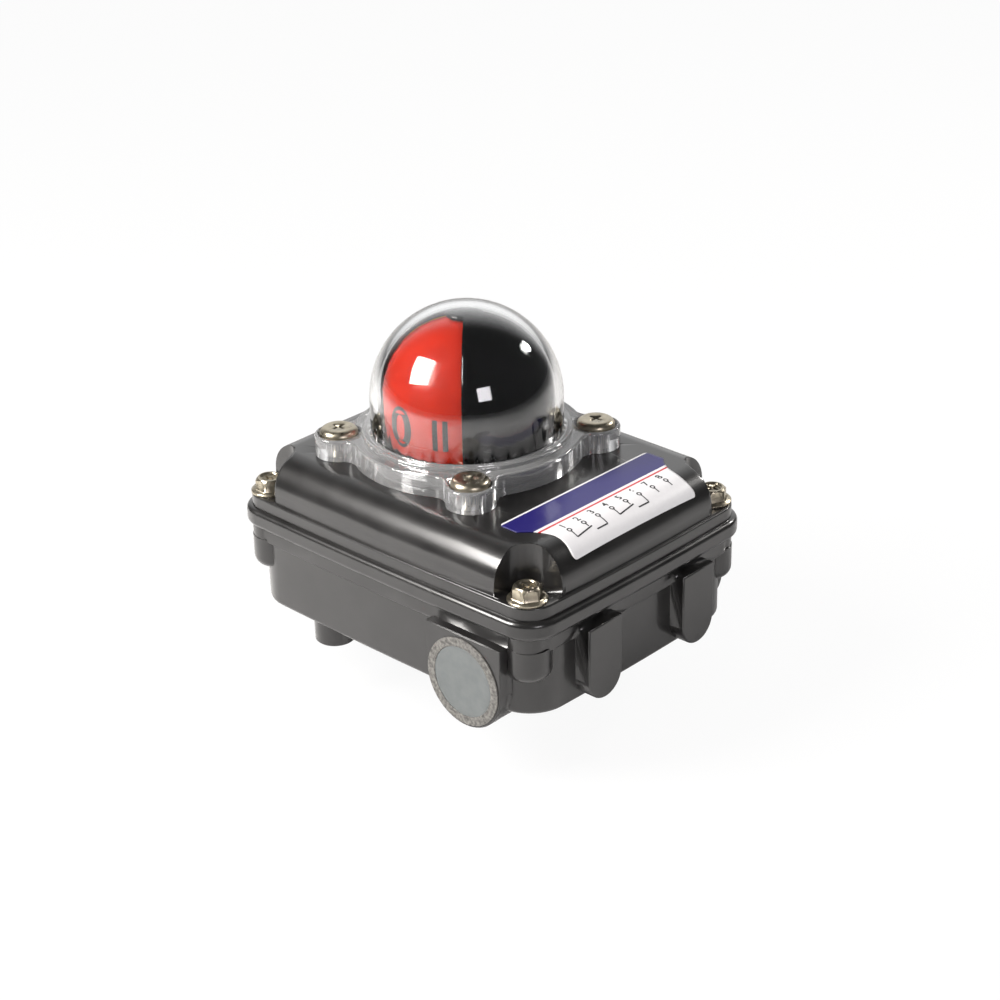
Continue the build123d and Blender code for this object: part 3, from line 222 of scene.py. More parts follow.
ENTRY_X, ENTRY_Z = 0.039, 0.0149
PAD_HALF, PAD_TOP, PAD_BACK = 0.01478, 0.03008, -0.0480
PAD_HOLE_R, PAD_EDGE = 0.0110, 0.0003
spoke = np.linspace(0, 2 * np.pi, 120, endpoint=False)
corner = np.arctan2(PAD_TOP - ENTRY_Z, PAD_HALF)
spoke = np.sort(np.concatenate([spoke, [corner, np.pi - corner]]))
side_reach = PAD_HALF / np.maximum(np.abs(np.cos(spoke)), 1e-6)
top_reach = (PAD_TOP - ENTRY_Z) / np.maximum(np.sin(spoke), 1e-6)
reach = np.where(np.sin(spoke) > 0, np.minimum(side_reach, top_reach), PAD_HALF)
front = PAD_FACE_Y + RING_THICKNESS
hole = np.full_like(reach, PAD_HOLE_R)
loops = [(hole, front), (reach - PAD_EDGE, front), (reach, front + PAD_EDGE),
         (reach, PAD_BACK), (hole, PAD_BACK), (hole, front)]
grid = np.stack([np.stack([ENTRY_X + away * np.cos(spoke), np.full_like(away, y),
                           ENTRY_Z + away * np.sin(spoke)], axis=-1) for away, y in loops])
mesh_piece("conduit_pad", grid, grid_faces(len(loops), spoke.size, closed=True), powder_coat,
           "housing", angle=20.0)

# The casting's walls stand square and run down to a tight lower edge. Two lengths of wall give
# that edge, one round each end, and their own ends lie inside the conduit bosses. Four round
# columns carry the bolts.
BOX_MIDDLE_X = 0.002
SIDE_BOW = 0.001
WALL_HALF_X, WALL_HALF_Y, WALL_CORNER = 0.0610, 0.0475, 0.0125
WALL_BOTTOM, WALL_TOP, LOWER_EDGE = 0.0074, 0.0295, 0.0016
WALL_SKIN, FLOOR_REACH, FLOOR_TOP = 0.0025, 0.012, 0.013
LEFT_START, RIGHT_START = -0.0253, 0.0490


def wall_outline(inset, start):
    """Plan of the wall from the start on the front side, round one end, to the start on the back
    side: straight runs and quarter arcs, moved in by the inset, with each side bowed out in its
    middle."""
    corner_x, corner_y = WALL_HALF_X - WALL_CORNER, WALL_HALF_Y - WALL_CORNER
    radius = WALL_CORNER - inset
    turn = np.linspace(0, np.pi / 2, 12)
    run_x = np.linspace(start, corner_x, 16)[:-1]
    run_y = np.linspace(-corner_y, corner_y, 18)[1:-1]
    x = np.concatenate([run_x, corner_x + radius * np.sin(turn), np.full(16, corner_x + radius),
                        corner_x + radius * np.cos(turn), run_x[::-1]])
    y = np.concatenate([np.full(15, -corner_y - radius), -corner_y - radius * np.cos(turn), run_y,
                        corner_y + radius * np.sin(turn), np.full(15, corner_y + radius)])
    bowed_x = x * (1 - SIDE_BOW / WALL_HALF_X * (y / WALL_HALF_Y) ** 2)
    return bowed_x, y * (1 - SIDE_BOW / WALL_HALF_Y * (x / WALL_HALF_X) ** 2)


edge = quarter(0, WALL_BOTTOM + LOWER_EDGE, LOWER_EDGE, 0, -90)
wall_profile = [(WALL_SKIN, WALL_TOP), (0.0, WALL_TOP)]
wall_profile += [(LOWER_EDGE - r, z) for r, z in edge]
wall_profile += [(FLOOR_REACH, WALL_BOTTOM), (FLOOR_REACH, FLOOR_TOP), (WALL_SKIN, FLOOR_TOP)]
for end, side, start in (("left", -1, LEFT_START), ("right", 1, RIGHT_START)):
    loop = [wall_outline(inset, start) for inset, _ in wall_profile]
    grid = np.stack([np.stack([BOX_MIDDLE_X + side * x, y, np.full_like(x, z)], axis=-1)
                     for (x, y), (_, z) in zip(loop, wall_profile)], axis=1)
    count = len(wall_profile)
    faces = grid_faces(grid.shape[0], count, closed=True)
    total = grid.shape[0] * count
    faces += [list(range(count)), list(range(total - count, total))]
    mesh_piece("base_wall_" + end, grid, faces, powder_coat, "housing")

COLUMN_X, COLUMN_Y = 0.0543, 0.0415
COLUMN_R, COLUMN_FOOT, COLUMN_BOTTOM, COLUMN_TOP = 0.0069, 0.0035, 0.0193, 0.0300
CORE_R, CORE_BOTTOM = 0.0045, 0.0215
column_profile = [(0.0, COLUMN_BOTTOM)]
column_profile += quarter(COLUMN_R - COLUMN_FOOT, COLUMN_BOTTOM + COLUMN_FOOT, COLUMN_FOOT, -90, 0)
column_profile += [(COLUMN_R, COLUMN_TOP), (CORE_R, COLUMN_TOP), (CORE_R, CORE_BOTTOM),
                   (0.0, CORE_BOTTOM)]
for number, (sx, sy) in enumerate([(-1, -1), (-1, 1), (1, -1), (1, 1)]):
    foot = (BOX_MIDDLE_X + sx * COLUMN_X, sy * COLUMN_Y, 0.0)
    points, faces = turned(column_profile, foot, steps=48)
    mesh_piece("bolt_column_%d" % (number + 1), points, faces, powder_coat,
               "housing")


# ---------------------------------------------------------------- label
# A thin self-adhesive label on the cover's right end: a blue band, a red line and a white field
# with a plain numbered wiring diagram. It follows the flat top and bends over the rounded end.
COVER_TOP = 0.058
TOP_HALF_LENGTH = 0.0612
TOP_HALF_WIDTH = 0.0477
TOP_EDGE_R = 0.0105
LABEL_LIFT, LABEL_THICKNESS = 0.0003, 0.00025


def cover_height(x, y, lift):
    """Height of the cover's end: flat, then a quarter round of the edge radius that starts that far
    inside the slightly bowed end line. The lift is taken along the surface's normal, as (x, z)."""
    end_line = BOX_MIDDLE_X + TOP_HALF_LENGTH - SIDE_BOW * (y / TOP_HALF_WIDTH) ** 2
    over = np.clip(x - (end_line - TOP_EDGE_R), 0.0, TOP_EDGE_R * 0.999)
    lean = np.arcsin(over / TOP_EDGE_R)
    drop = TOP_EDGE_R * (1.0 - np.cos(lean))
    return x + lift * np.sin(lean), COVER_TOP - drop + lift * np.cos(lean)


def give_thickness(piece, thickness):
    """A thickness inwards from the piece's outer face, with closed edges."""
    solid = piece.modifiers.new("thickness", "SOLIDIFY")
    solid.thickness = thickness
    solid.offset = -1.0


def sheet_piece(name, x, y, lift, material, thickness):
    """A sheet over a grid of plan places, laid on the cover's end at a lift."""
    px, pz = cover_height(x, y, lift)
    piece = mesh_piece(name, np.stack([px, y, pz], axis=-1), grid_faces(*x.shape), material,
                       "housing")
    give_thickness(piece, thickness)
    return piece


LABEL_IN, LABEL_OUT = 0.0375, 0.0615
LABEL_HALF = 0.033
POCKET_X, POCKET_Y, POCKET_REACH = 0.0565, 0.042, 0.0150
LABEL_CORNER = 0.0015


def label_half_width(x):
    """Half width of the label at each x: the full half width with rounded inner corners, cut back
    by the circle round each bolt pocket."""
    half = np.full_like(x, LABEL_HALF)
    near_in = np.clip(LABEL_IN + LABEL_CORNER - x, 0.0, LABEL_CORNER)
    half -= LABEL_CORNER - np.sqrt(np.maximum(LABEL_CORNER ** 2 - near_in ** 2, 0.0))
    inside = np.clip(POCKET_REACH ** 2 - (x - POCKET_X) ** 2, 0.0, None)
    half = np.minimum(half, np.where(inside > 0, POCKET_Y - np.sqrt(inside), LABEL_HALF))
    near_out = np.clip(x - (LABEL_OUT - LABEL_CORNER), 0.0, LABEL_CORNER)
    return half - (LABEL_CORNER - np.sqrt(np.maximum(LABEL_CORNER ** 2 - near_out ** 2, 0.0)))


u = LABEL_IN + (LABEL_OUT - LABEL_IN) * (0.5 - 0.5 * np.cos(np.linspace(0, np.pi, 90)))
v = np.linspace(-1.0, 1.0, 81)
label_x = np.repeat(u[:, None], v.size, axis=1)
label_y = label_half_width(u)[:, None] * v[None, :]

label_print, nodes, links, shader = new_material("printed label film")
shader.inputs["Roughness"].default_value = 0.28
place = nodes.new("ShaderNodeTexCoord")
parts = nodes.new("ShaderNodeSeparateXYZ")
links.new(place.outputs["Object"], parts.inputs["Vector"])
across = nodes.new("ShaderNodeMapRange")
BANDS_FROM_X, BANDS_TO_X = 0.036, 0.064
across.inputs["From Min"].default_value = BANDS_FROM_X
across.inputs["From Max"].default_value = BANDS_TO_X
links.new(parts.outputs["X"], across.inputs["Value"])
bands = nodes.new("ShaderNodeValToRGB")
bands.color_ramp.interpolation = "CONSTANT"
BLUE, RED, WHITE = (0.018, 0.014, 0.125, 1), (0.50, 0.015, 0.02, 1), (0.74, 0.73, 0.74, 1)
FIELD_START = 0.492
bands.color_ramp.elements[0].color = WHITE
bands.color_ramp.elements[1].position = FIELD_START
bands.color_ramp.elements[1].color = WHITE
for position, colour in ((0.075, BLUE), (0.425, WHITE), (0.462, RED)):
    bands.color_ramp.elements.new(position).color = colour
links.new(across.outputs["Result"], bands.inputs["Fac"])
ink = nodes.new("ShaderNodeTexNoise")
ink.inputs["Scale"].default_value = 700.0
links.new(place.outputs["Object"], ink.inputs["Vector"])
wear = nodes.new("ShaderNodeMapRange")
wear.inputs["To Min"].default_value = 0.93
wear.inputs["To Max"].default_value = 1.0
links.new(ink.outputs["Fac"], wear.inputs["Value"])
mixed = nodes.new("ShaderNodeVectorMath")
mixed.operation = "SCALE"
links.new(bands.outputs["Color"], mixed.inputs[0])
links.new(wear.outputs["Result"], mixed.inputs["Scale"])
links.new(mixed.outputs["Vector"], shader.inputs["Base Color"])
label = sheet_piece("label_film", label_x, label_y, LABEL_LIFT, label_print,
                    LABEL_THICKNESS)
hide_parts("label_plate")


def printed(word, size, bold=0.0):
    """Points and faces of a word in plain letters, flat in X and Y and centred on its middle."""
    letters = bpy.data.curves.new("print", "FONT")
    letters.body = word
    letters.size = size
    letters.offset = bold
    letters.align_x = "CENTER"
    letters.align_y = "CENTER"
    holder = bpy.data.objects.new("print", letters)
    bpy.context.scene.collection.objects.link(holder)
    graph = bpy.context.evaluated_depsgraph_get()
    flat = bpy.data.meshes.new_from_object(holder.evaluated_get(graph))
    points = np.array([v.co[:2] for v in flat.vertices])
    points -= (points.min(axis=0) + points.max(axis=0)) / 2
    faces = [list(p.vertices) for p in flat.polygons]
    bpy.data.objects.remove(holder)
    return points, faces


def join_prints(prints):
    """One array of points and one list of faces from several flat prints."""
    points, faces, start = [], [], 0
    for p, f in prints:
        points.append(p)
        faces += [[start + k for k in face] for face in f]
        start += len(p)
    return np.concatenate(points), faces


def stroke(x0, y0, x1, y1, width):
    """A straight stroke between two places, cut in 8 along its length, as flat points and quads."""
    t = np.linspace(0, 1, 9)[:, None]
    run = np.array([x1 - x0, y1 - y0])
    out = np.array([-run[1], run[0]]) / np.hypot(*run) * width / 2
    middle = np.array([x0, y0]) + t * run
    return np.stack([middle - out, middle + out], axis=1).reshape(-1, 2), grid_faces(9, 2)


def ring_mark(x, y, radius, width):
    """A small printed circle as flat points and quads."""
    turn = np.linspace(0, 2 * np.pi, 24, endpoint=False)
    loops = [np.stack([x + r * np.cos(turn), y + r * np.sin(turn)], axis=-1)
             for r in (radius, radius - width)]
    return np.concatenate(loops), grid_faces(2, 24, closed=True)


# The print reads along +Y, so a print's X runs along +Y and its Y up the slope, along -X.
# Each terminal has its number, a small circle and a leg down to its switch line.
LINE = 0.00042
PITCH = 0.0062
DIGIT_SIZE, DIGIT_BOLD = 0.0034, 0.00008
CIRCLE_Y, CIRCLE_R = -0.0027, 0.00085
LEG_TOP, LEG_END = -0.0035, -0.0046
CONTACT_DROP, BLADE_DROP, BLADE_OVER = 0.0012, 0.0003, 0.0010
OPEN_DROP, OPEN_GAP, SPARE_DROP = 0.0018, 0.0016, 0.0006
marks = []
for number in range(8):
    across = (number - 3.5) * PITCH
    digit, faces = printed(str(number + 1), DIGIT_SIZE, bold=DIGIT_BOLD)
    marks.append((digit + np.array([across, 0.0]), faces))
    marks.append(ring_mark(across, CIRCLE_Y, CIRCLE_R, LINE))
for group in range(2):
    common = (-3.5 + 3 * group) * PITCH
    closed_leg, open_leg = common + PITCH, common + 2 * PITCH
    contact, gap_y = LEG_END - CONTACT_DROP, LEG_END - OPEN_DROP
    marks.append(stroke(common, LEG_TOP, common, contact, LINE))
    marks.append(stroke(common, contact, closed_leg + BLADE_OVER, LEG_END - BLADE_DROP, LINE))
    marks.append(stroke(closed_leg, LEG_TOP, closed_leg, LEG_END, LINE))
    marks.append(stroke(open_leg, LEG_TOP, open_leg, gap_y, LINE))
    marks.append(stroke(open_leg, gap_y, closed_leg + OPEN_GAP, gap_y, LINE))
for leg in (2.5 * PITCH, 2.5 * PITCH + PITCH):
    marks.append(stroke(leg, LEG_TOP, leg, LEG_END - SPARE_DROP, LINE))
flat, faces = join_prints(marks)
PRINT_TOP_X, INK = 0.0518, 0.00003
px, pz = cover_height(PRINT_TOP_X - flat[:, 1], flat[:, 0], LABEL_LIFT + INK)
print_black = finish("black print", (0.012, 0.012, 0.014), spread=0.2, grain=900.0,
                     rough=(0.35, 0.45))
mesh_piece("label_diagram", np.stack([px, flat[:, 0], pz], axis=-1), faces, print_black,
           "housing")


# ---------------------------------------------------------------- clear dome
# The dome is one injection-moulded piece of clear polycarbonate, a thick cap on a four-lobed
# flange. Four screws clamp its flange on a flat ring.
clear, nodes, links, shader = new_material("clear polycarbonate")
shader.inputs["Transmission Weight"].default_value = 1.0
shader.inputs["IOR"].default_value = 1.58
shader.inputs["Roughness"].default_value = 0.0
place = nodes.new("ShaderNodeTexCoord")
flow = nodes.new("ShaderNodeTexNoise")
flow.inputs["Scale"].default_value = 60.0
links.new(place.outputs["Object"], flow.inputs["Vector"])
tone = nodes.new("ShaderNodeValToRGB")
tone.color_ramp.elements[0].color = (0.965, 0.975, 0.98, 1)
tone.color_ramp.elements[1].color = (0.99, 0.992, 0.995, 1)
links.new(flow.outputs["Fac"], tone.inputs["Fac"])
links.new(tone.outputs["Color"], shader.inputs["Base Color"])
dome = rounded_copy("indicator_dome", clear, angle=30.0)

# The flange rests on its ring, so a hair of air is left between its underside and the cover.
AIR_GAP = 0.0001
places = vertex_places(dome)
places[places[:, 2] < COVER_TOP + AIR_GAP, 2] += AIR_GAP
move_vertices(dome, places)

# The flange is the thickest part of the moulding and a little cloudy.
FLANGE_TOP = 0.0664
cloudy = clear.copy()
cloudy.name = "cloudy polycarbonate"
shader = cloudy.node_tree.nodes["Principled BSDF"]
shader.inputs["Transmission Weight"].default_value = 0.84
shader.inputs["Roughness"].default_value = 0.04
dome.data.materials.append(cloudy)
heights = np.array([max(dome.data.vertices[v].co.z for v in face.vertices)
                    for face in dome.data.polygons])
in_flange = (heights < FLANGE_TOP) & (heights > COVER_TOP + 2 * AIR_GAP)
dome.data.polygons.foreach_set("material_index", in_flange.astype(np.int32))


# ---------------------------------------------------------------- mask and drum
# A gloss black mask stands still under the dome and leaves two windows open. The drum behind it
# turns with the shaft and shows red or yellow, with a plain number for the turn in degrees.
mask_black = finish("gloss black mask", (0.006, 0.006, 0.0065), spread=0.2, grain=60.0,
                    rough=(0.05, 0.08))
SHAFT_X = -0.0065
BELL_CENTRE_Z = 0.0757
MASK_R, MASK_WALL = 0.027, 0.0009
WINDOW_SILL, WINDOW_CAP_R, WINDOW_TURN = 0.0645, 0.0055, np.radians(-4.0)
SPOKES, WALL_ROWS, WINDOW_ROWS = 160, 6, 30
cap_lean = np.arcsin(WINDOW_CAP_R / MASK_R)
lean = np.concatenate([np.linspace(np.pi / 2, cap_lean, WINDOW_ROWS),
                       np.linspace(cap_lean, 0.0, 6)[1:]])
mask_r = np.concatenate([np.full(WALL_ROWS, MASK_R), MASK_R * np.sin(lean)])
mask_z = np.concatenate([[COVER_TOP + AIR_GAP],
                         np.linspace(WINDOW_SILL, BELL_CENTRE_Z, WALL_ROWS)[:-1],
                         BELL_CENTRE_Z + MASK_R * np.cos(lean)])
around = np.linspace(0, 2 * np.pi, SPOKES, endpoint=False) + WINDOW_TURN - np.pi / 4
grid = np.stack([SHAFT_X + mask_r[:, None] * np.cos(around), mask_r[:, None] * np.sin(around),
                 np.repeat(mask_z[:, None], around.size, axis=1)], axis=-1)
rows, columns = np.meshgrid(np.arange(mask_r.size - 1), np.arange(around.size), indexing="ij")
in_window = (rows >= 1) & (rows < WALL_ROWS + WINDOW_ROWS - 1)
in_window &= (columns // (SPOKES // 4)) % 2 == 1
quads = np.array(grid_faces(mask_r.size, around.size, closed=True))
mask = mesh_piece("indicator_mask", grid, quads[~in_window.ravel()].tolist(), mask_black,
                  "housing", merge=2e-6)
give_thickness(mask, MASK_WALL)
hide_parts("indicator_shroud")

drum_paint, nodes, links, shader = new_material("red and yellow drum")
shader.inputs["Roughness"].default_value = 0.22
place = nodes.new("ShaderNodeTexCoord")
centre = nodes.new("ShaderNodeMapping")
centre.inputs["Location"].default_value = (-SHAFT_X, 0.0, 0.0)
links.new(place.outputs["Object"], centre.inputs["Vector"])
rotated = nodes.new("ShaderNodeVectorRotate")
rotated.rotation_type = "Z_AXIS"
rotated.inputs["Angle"].default_value = np.radians(4.0 + 45.0)
links.new(centre.outputs["Vector"], rotated.inputs["Vector"])
split = nodes.new("ShaderNodeSeparateXYZ")
links.new(rotated.outputs["Vector"], split.inputs["Vector"])
product = nodes.new("ShaderNodeMath")
product.operation = "MULTIPLY"
links.new(split.outputs["X"], product.inputs[0])
links.new(split.outputs["Y"], product.inputs[1])
side = nodes.new("ShaderNodeMath")
side.operation = "GREATER_THAN"
side.inputs[1].default_value = 0.0
links.new(product.outputs["Value"], side.inputs[0])
cloud = nodes.new("ShaderNodeTexNoise")
cloud.inputs["Scale"].default_value = 90.0
links.new(place.outputs["Object"], cloud.inputs["Vector"])
reds = nodes.new("ShaderNodeValToRGB")
reds.color_ramp.elements[0].color = (0.58, 0.020, 0.008, 1)
reds.color_ramp.elements[1].color = (0.68, 0.036, 0.012, 1)
yellows = nodes.new("ShaderNodeValToRGB")
yellows.color_ramp.elements[0].color = (0.80, 0.50, 0.02, 1)
yellows.color_ramp.elements[1].color = (0.88, 0.58, 0.03, 1)
links.new(cloud.outputs["Fac"], reds.inputs["Fac"])
links.new(cloud.outputs["Fac"], yellows.inputs["Fac"])
pick = nodes.new("ShaderNodeMix")
pick.data_type = "RGBA"
links.new(side.outputs["Value"], pick.inputs["Factor"])
links.new(reds.outputs["Color"], pick.inputs["A"])
links.new(yellows.outputs["Color"], pick.inputs["B"])
links.new(pick.outputs["Result"], shader.inputs["Base Color"])
rounded_copy("indicator_drum", drum_paint)

# Plain numbers for the turn in degrees, printed on the drum between a row of short marks.
DRUM_R = 0.0258
PRINT_LIFT = 0.00012


def on_drum(flat, middle, height):
    """Flat print wrapped on the drum: X becomes an angle round the shaft, Y a height, and the
    radius is the drum's own, a cylinder below the bell's centre and a sphere above."""
    z = height + flat[:, 1]
    above = np.maximum(z - BELL_CENTRE_Z, 0.0)
    radius = np.sqrt(np.maximum(DRUM_R ** 2 - above ** 2, 0.0)) + PRINT_LIFT
    angle = middle + flat[:, 0] / DRUM_R
    return np.stack([SHAFT_X + radius * np.cos(angle), radius * np.sin(angle), z], axis=-1)


NUMBER_HEIGHT_Z, NUMBER_SIZE, NUMBER_BOLD = 0.0735, 0.0175, 0.0004
MARK_HALF, MARK_WIDTH = 0.0050, 0.0016
for quarter_turn, word in ((0, "0"), (1, "90"), (2, "0"), (3, "90")):
    marks = [printed(word, NUMBER_SIZE, bold=NUMBER_BOLD)]
    for step in (-34, -27, 27, 34):
        across = np.radians(step) * DRUM_R
        marks.append(stroke(across, -MARK_HALF, across, MARK_HALF, MARK_WIDTH))
    flat, faces = join_prints(marks)
    middle = WINDOW_TURN - np.pi / 2 + quarter_turn * np.pi / 2
    mesh_piece("drum_number_%d" % (quarter_turn + 1), on_drum(flat, middle, NUMBER_HEIGHT_Z),
               faces, print_black, BODY_OF["indicator_drum"])


# ---------------------------------------------------------------- screws and bolts
# Zinc-plated steel with a yellowish passivate: four hexagon flange bolts at the cover's corners
# and four wide round heads on the dome's flange.
HEAD_ANGLE = 28.0
zinc = finish("yellowish zinc plate", (0.50, 0.45, 0.35), spread=0.15, grain=500.0,
              rough=(0.26, 0.38), metal=1.0, bump=0.1, bump_grain=1800.0)
rounded_copy("dome_screws", zinc, angle=HEAD_ANGLE)
bolts = rounded_copy("cover_bolts", zinc, angle=HEAD_ANGLE)

# Each hexagon head also has a cross recess, cut from the dish in its top.
BOLT_X, BOLT_Y = 0.0545, 0.042
CROSS_BOTTOM, CROSS_TOP = 0.0472, 0.0500
far, near = 0.0021, 0.00045
cross = np.array([(far, -near), (far, near), (near, near), (near, far), (-near, far), (-near, near),
                  (-far, near), (-far, -near), (-near, -near), (-near, -far), (near, -far),
                  (near, -near)])
points, faces = [], []
for sx in (-1, 1):
    for sy in (-1, 1):
        start, corners = len(points), len(cross)
        plan = cross + np.array([BOX_MIDDLE_X + sx * BOLT_X, sy * BOLT_Y])
        points += [(x, y, z) for z in (CROSS_BOTTOM, CROSS_TOP) for x, y in plan]
        faces += grid_faces(2, corners, closed=True, start=start)
        faces += [list(range(start + corners - 1, start - 1, -1)),
                  list(range(start + corners, start + 2 * corners))]
cutter_mesh = bpy.data.meshes.new("cross_cutter")
cutter_mesh.from_pydata(points, [], faces)
cutter = bpy.data.objects.new("cross_cutter", cutter_mesh)
bpy.context.scene.collection.objects.link(cutter)
recess = bolts.modifiers.new("recess", "BOOLEAN")
recess.object = cutter
recess.solver = "EXACT"
graph = bpy.context.evaluated_depsgraph_get()
cut_mesh = bpy.data.meshes.new_from_object(bolts.evaluated_get(graph))
bolts.modifiers.clear()
bolts.data = cut_mesh
cut_mesh.set_sharp_from_angle(angle=np.radians(HEAD_ANGLE))
bpy.data.objects.remove(cutter)


# ---------------------------------------------------------------- conduit entry
# The front entry is open and threaded, and is closed against dust by a clear film in a ring of
# self-adhesive grey foam on the pad.
RING_R, RING_INNER_R, RING_EDGE = 0.0140, 0.0112, 0.0001
entry = (ENTRY_X, 0.0, ENTRY_Z)
front, back = -PAD_FACE_Y, -PAD_FACE_Y - RING_THICKNESS
foam = finish("mottled grey foam", (0.135, 0.13, 0.12), spread=0.5, grain=1100.0,
              rough=(0.6, 0.8), bump=0.5, bump_grain=1600.0)
ring_profile = [(RING_R, back), (RING_R, front - RING_EDGE), (RING_R - RING_EDGE, front),
                (RING_INNER_R + RING_EDGE, front), (RING_INNER_R, front - RING_EDGE),
                (RING_INNER_R, back), (RING_R, back)]
points, faces = turned(ring_profile, entry, axis="-Y", steps=96)
mesh_piece("dust_ring", points, faces, foam, "housing")

film = finish("clear dust film", (0.24, 0.26, 0.26), spread=0.06, grain=300.0, rough=(0.18, 0.26))
film.node_tree.nodes["Principled BSDF"].inputs["Transmission Weight"].default_value = 0.5
FILM_IN, FILM_OUT = back + 0.00010, back + 0.00025
FILM_R = RING_INNER_R + 0.0004
film_profile = [(0.0, FILM_IN), (FILM_R, FILM_IN), (FILM_R, FILM_OUT), (0.0, FILM_OUT)]
points, faces = turned(film_profile, entry, axis="-Y", steps=96)
mesh_piece("dust_film", points, faces, film, "housing")

THREAD_PITCH, THREAD_TURNS, THREAD_START_Y = 0.001814, 6, -0.0500
THREAD_WALL_R, THREAD_CREST_R = 0.00936, 0.00890
turn = np.linspace(0, 2 * np.pi * THREAD_TURNS, 48 * THREAD_TURNS + 1)
ridge = np.array([(THREAD_WALL_R, -0.0006), (THREAD_CREST_R, -0.0001),
                  (THREAD_CREST_R, 0.0001), (THREAD_WALL_R, 0.0006)])
radius = np.repeat(ridge[None, :, 0], turn.size, axis=0)
along = THREAD_START_Y + THREAD_PITCH * turn[:, None] / (2 * np.pi) + ridge[None, :, 1]
grid = np.stack([ENTRY_X + radius * np.cos(turn)[:, None], along,
                 ENTRY_Z + radius * np.sin(turn)[:, None]], axis=-1)
faces = grid_faces(turn.size, 4, closed=True)
faces += [[0, 1, 2, 3], [turn.size * 4 - k for k in (4, 3, 2, 1)]]
mesh_piece("conduit_thread", grid, faces, powder_coat, "housing")


# ---------------------------------------------------------------- shaft, bearings and seals
# Turned stainless shaft in two bronze bushes, an O-ring under the lower one, and rubber rings
# under the cover and the dome.
stainless = finish("turned stainless steel", (0.58, 0.58, 0.58), spread=0.08, grain=900.0,
                   rough=(0.2, 0.3), metal=1.0, stretch=(1.0, 1.0, 8.0))
rubber = finish("black rubber", (0.018, 0.018, 0.018), spread=0.2, grain=300.0,
                rough=(0.6, 0.75), bump=0.15)
bronze = finish("sintered bronze", (0.5, 0.3, 0.13), spread=0.15, grain=1200.0,
                rough=(0.35, 0.5), metal=1.0)
plate = finish("bright zinc plate", (0.62, 0.63, 0.64), spread=0.1, grain=500.0,
               rough=(0.25, 0.38), metal=1.0)
spring = finish("spring steel", (0.5, 0.5, 0.52), spread=0.1, grain=700.0,
                rough=(0.25, 0.35), metal=1.0)
groups = [
    (stainless, "stainless", ("main_shaft", "retaining_ring", "cam_collar", "seal_retainer",
                              "blanking_plug")),
    (rubber, "seal_rubber", ("cover_seal", "dome_seal", "shaft_seal")),
    (bronze, "bronze", ("lower_bush", "upper_bush", "terminal_clamps")),
    (spring, "spring_steel", ("lower_cam_spring", "upper_cam_spring", "lower_switch_lever",
                              "upper_switch_lever", "lower_lever_pin", "upper_lever_pin")),
    (plate, "plated_steel", ("switch_bracket", "switch_screws", "bracket_screws",
                             "terminal_screws", "earth_screw")),
]


# ---------------------------------------------------------------- cams, switches and wiring
# Moulded plastic pieces inside the box: two cams, two microswitches on their insulating sheet, and
# the terminal strip.
groups += [
    (finish("red moulding", (0.50, 0.03, 0.025), rough=(0.4, 0.5)), "cam_red", ("lower_cam",)),
    (finish("green moulding", (0.03, 0.30, 0.07), rough=(0.4, 0.5)), "cam_green", ("upper_cam",)),
    (finish("black moulding", (0.02, 0.02, 0.021), rough=(0.4, 0.5)), "switch_black",
     ("lower_switch", "upper_switch", "terminal_strip")),
    (finish("white moulding", (0.75, 0.74, 0.70), spread=0.05, rough=(0.35, 0.45)), "plunger_white",
     ("lower_switch_plunger", "upper_switch_plunger")),
    (finish("pressboard", (0.25, 0.10, 0.045), rough=(0.6, 0.7)), "insulator", ("switch_spacer",)),
]
for material, slot, members in groups:
    for node in members:
        rounded_copy(node, material)


# ---------------------------------------------------------------- floor, light and camera
# A pale floor and a plain white surround, one large soft box in front on the left, a smaller one on
# the right and the smallest behind.
def look(place, target, roll=0.0):
    """Rotation that points an object's -Z from its place to a target, turned by a roll."""
    aim = (Vector(target) - Vector(place)).to_track_quat("-Z", "Y").to_matrix()
    return (aim @ Matrix.Rotation(roll, 3, "Z")).to_4x4()


def soft_box(name, direction, distance, width, height, power, colour, roll=0.0):
    """Area lamp at a direction and distance from the dome's centre, facing it."""
    target = Vector((SHAFT_X, 0.0, BELL_CENTRE_Z))
    place = target + Vector(direction).normalized() * distance
    lamp = bpy.data.lights.new(name, "AREA")
    lamp.shape = "RECTANGLE"
    lamp.size = width
    lamp.size_y = height
    lamp.energy = power
    lamp.color = colour
    holder = bpy.data.objects.new(name, lamp)
    holder.matrix_world = Matrix.Translation(place) @ look(place, target, roll)
    bpy.context.scene.collection.objects.link(holder)


soft_box("key", (-0.36, -0.72, 0.59), 0.70, 0.30, 0.34, 9.0, (1.0, 0.97, 0.94), roll=0.4)
soft_box("side", (0.85, -0.36, 0.38), 0.80, 0.22, 0.22, 1.0, (1.0, 0.96, 1.0))
soft_box("rear", (0.25, 0.85, 0.46), 0.80, 0.10, 0.10, 2.0, (1.0, 0.97, 0.94))

FLOOR_HALF, FLOOR_DROP = 4.0, 0.0001
floor_points = FLOOR_HALF * np.array([[-1.0, -1.0, 0.0], [1.0, -1.0, 0.0], [1.0, 1.0, 0.0],
                                      [-1.0, 1.0, 0.0]])
floor_points[:, 2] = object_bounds()[0][2] - FLOOR_DROP
floor_mesh = bpy.data.meshes.new("floor")
floor_mesh.from_pydata(floor_points.tolist(), [], [[0, 1, 2, 3]])
floor = bpy.data.objects.new("floor", floor_mesh)
bpy.context.scene.collection.objects.link(floor)
paper, nodes, links, shader = new_material("pale paper")
shader.inputs["Base Color"].default_value = (0.88, 0.88, 0.88, 1)
shader.inputs["Roughness"].default_value = 0.9
glow = nodes.new("ShaderNodeEmission")
glow.inputs["Color"].default_value = (1, 1, 1, 1)
seen = nodes.new("ShaderNodeLightPath")
share = nodes.new("ShaderNodeMath")
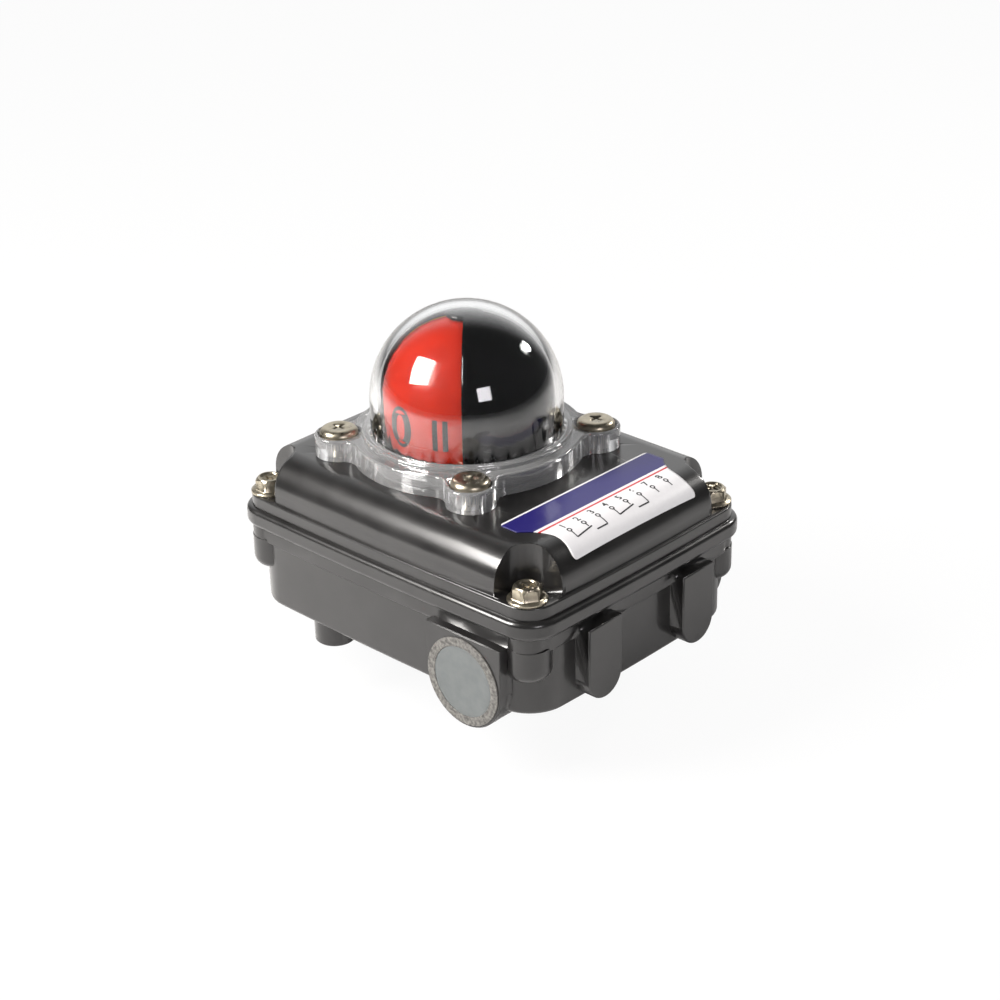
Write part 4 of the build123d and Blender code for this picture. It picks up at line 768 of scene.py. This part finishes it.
share.operation = "MULTIPLY"
share.inputs[1].default_value = 0.93
links.new(seen.outputs["Is Camera Ray"], share.inputs[0])
blend = nodes.new("ShaderNodeMixShader")
links.new(share.outputs["Value"], blend.inputs["Fac"])
links.new(shader.outputs["BSDF"], blend.inputs[1])
links.new(glow.outputs["Emission"], blend.inputs[2])
links.new(blend.outputs["Shader"], nodes["Material Output"].inputs["Surface"])
floor_mesh.materials.append(paper)

# What the camera and the clear dome see of the surround is white. Gloss sees a white backdrop
# behind the box and a dim room on the camera's side, and the fill on matt surfaces is even.
world = bpy.data.worlds.new("surround")
bpy.context.scene.world = world
world.use_nodes = True
nodes, links = world.node_tree.nodes, world.node_tree.links
sky = nodes["Background"]
sky.inputs["Color"].default_value = (1, 1, 1, 1)
seen = nodes.new("ShaderNodeLightPath")
heading = nodes.new("ShaderNodeTexCoord")
behind = nodes.new("ShaderNodeVectorMath")
behind.operation = "DOT_PRODUCT"
behind.inputs[1].default_value = (-0.66, 0.70, 0.28)
links.new(heading.outputs["Generated"], behind.inputs[0])
backdrop = nodes.new("ShaderNodeMapRange")
backdrop.interpolation_type = "SMOOTHSTEP"
backdrop.inputs["From Min"].default_value = 0.62
backdrop.inputs["From Max"].default_value = 1.0
backdrop.inputs["To Min"].default_value = 0.05
backdrop.inputs["To Max"].default_value = 1.0
links.new(behind.outputs["Value"], backdrop.inputs["Value"])
direct = nodes.new("ShaderNodeMath")
direct.operation = "ADD"
direct.use_clamp = True
links.new(seen.outputs["Is Camera Ray"], direct.inputs[0])
links.new(seen.outputs["Is Transmission Ray"], direct.inputs[1])
FILL = 0.45
plain = nodes.new("ShaderNodeMix")
links.new(direct.outputs["Value"], plain.inputs["Factor"])
plain.inputs["A"].default_value = FILL
plain.inputs["B"].default_value = 1.0
gloss = nodes.new("ShaderNodeMath")
gloss.operation = "MINIMUM"
gloss.inputs[1].default_value = 1.0
links.new(seen.outputs["Glossy Depth"], gloss.inputs[0])
level = nodes.new("ShaderNodeMix")
links.new(gloss.outputs["Value"], level.inputs["Factor"])
links.new(plain.outputs["Result"], level.inputs["A"])
links.new(backdrop.outputs["Result"], level.inputs["B"])
links.new(level.outputs["Result"], sky.inputs["Strength"])

camera = bpy.data.cameras.new("camera")
camera.lens = 79.9
camera.sensor_width = 36.0
camera.clip_start = 0.01
viewer = bpy.data.objects.new("camera", camera)
right = Vector((0.72997, 0.68324, -0.02062))
up = Vector((-0.28650, 0.33326, 0.89833))
back = right.cross(up)
turn = Matrix((right, up, back)).transposed().to_4x4()
viewer.matrix_world = Matrix.Translation((0.4318, -0.4452, 0.3450)) @ turn
bpy.context.scene.collection.objects.link(viewer)
bpy.context.scene.camera = viewer
bpy.context.scene.view_settings.view_transform = "Standard"
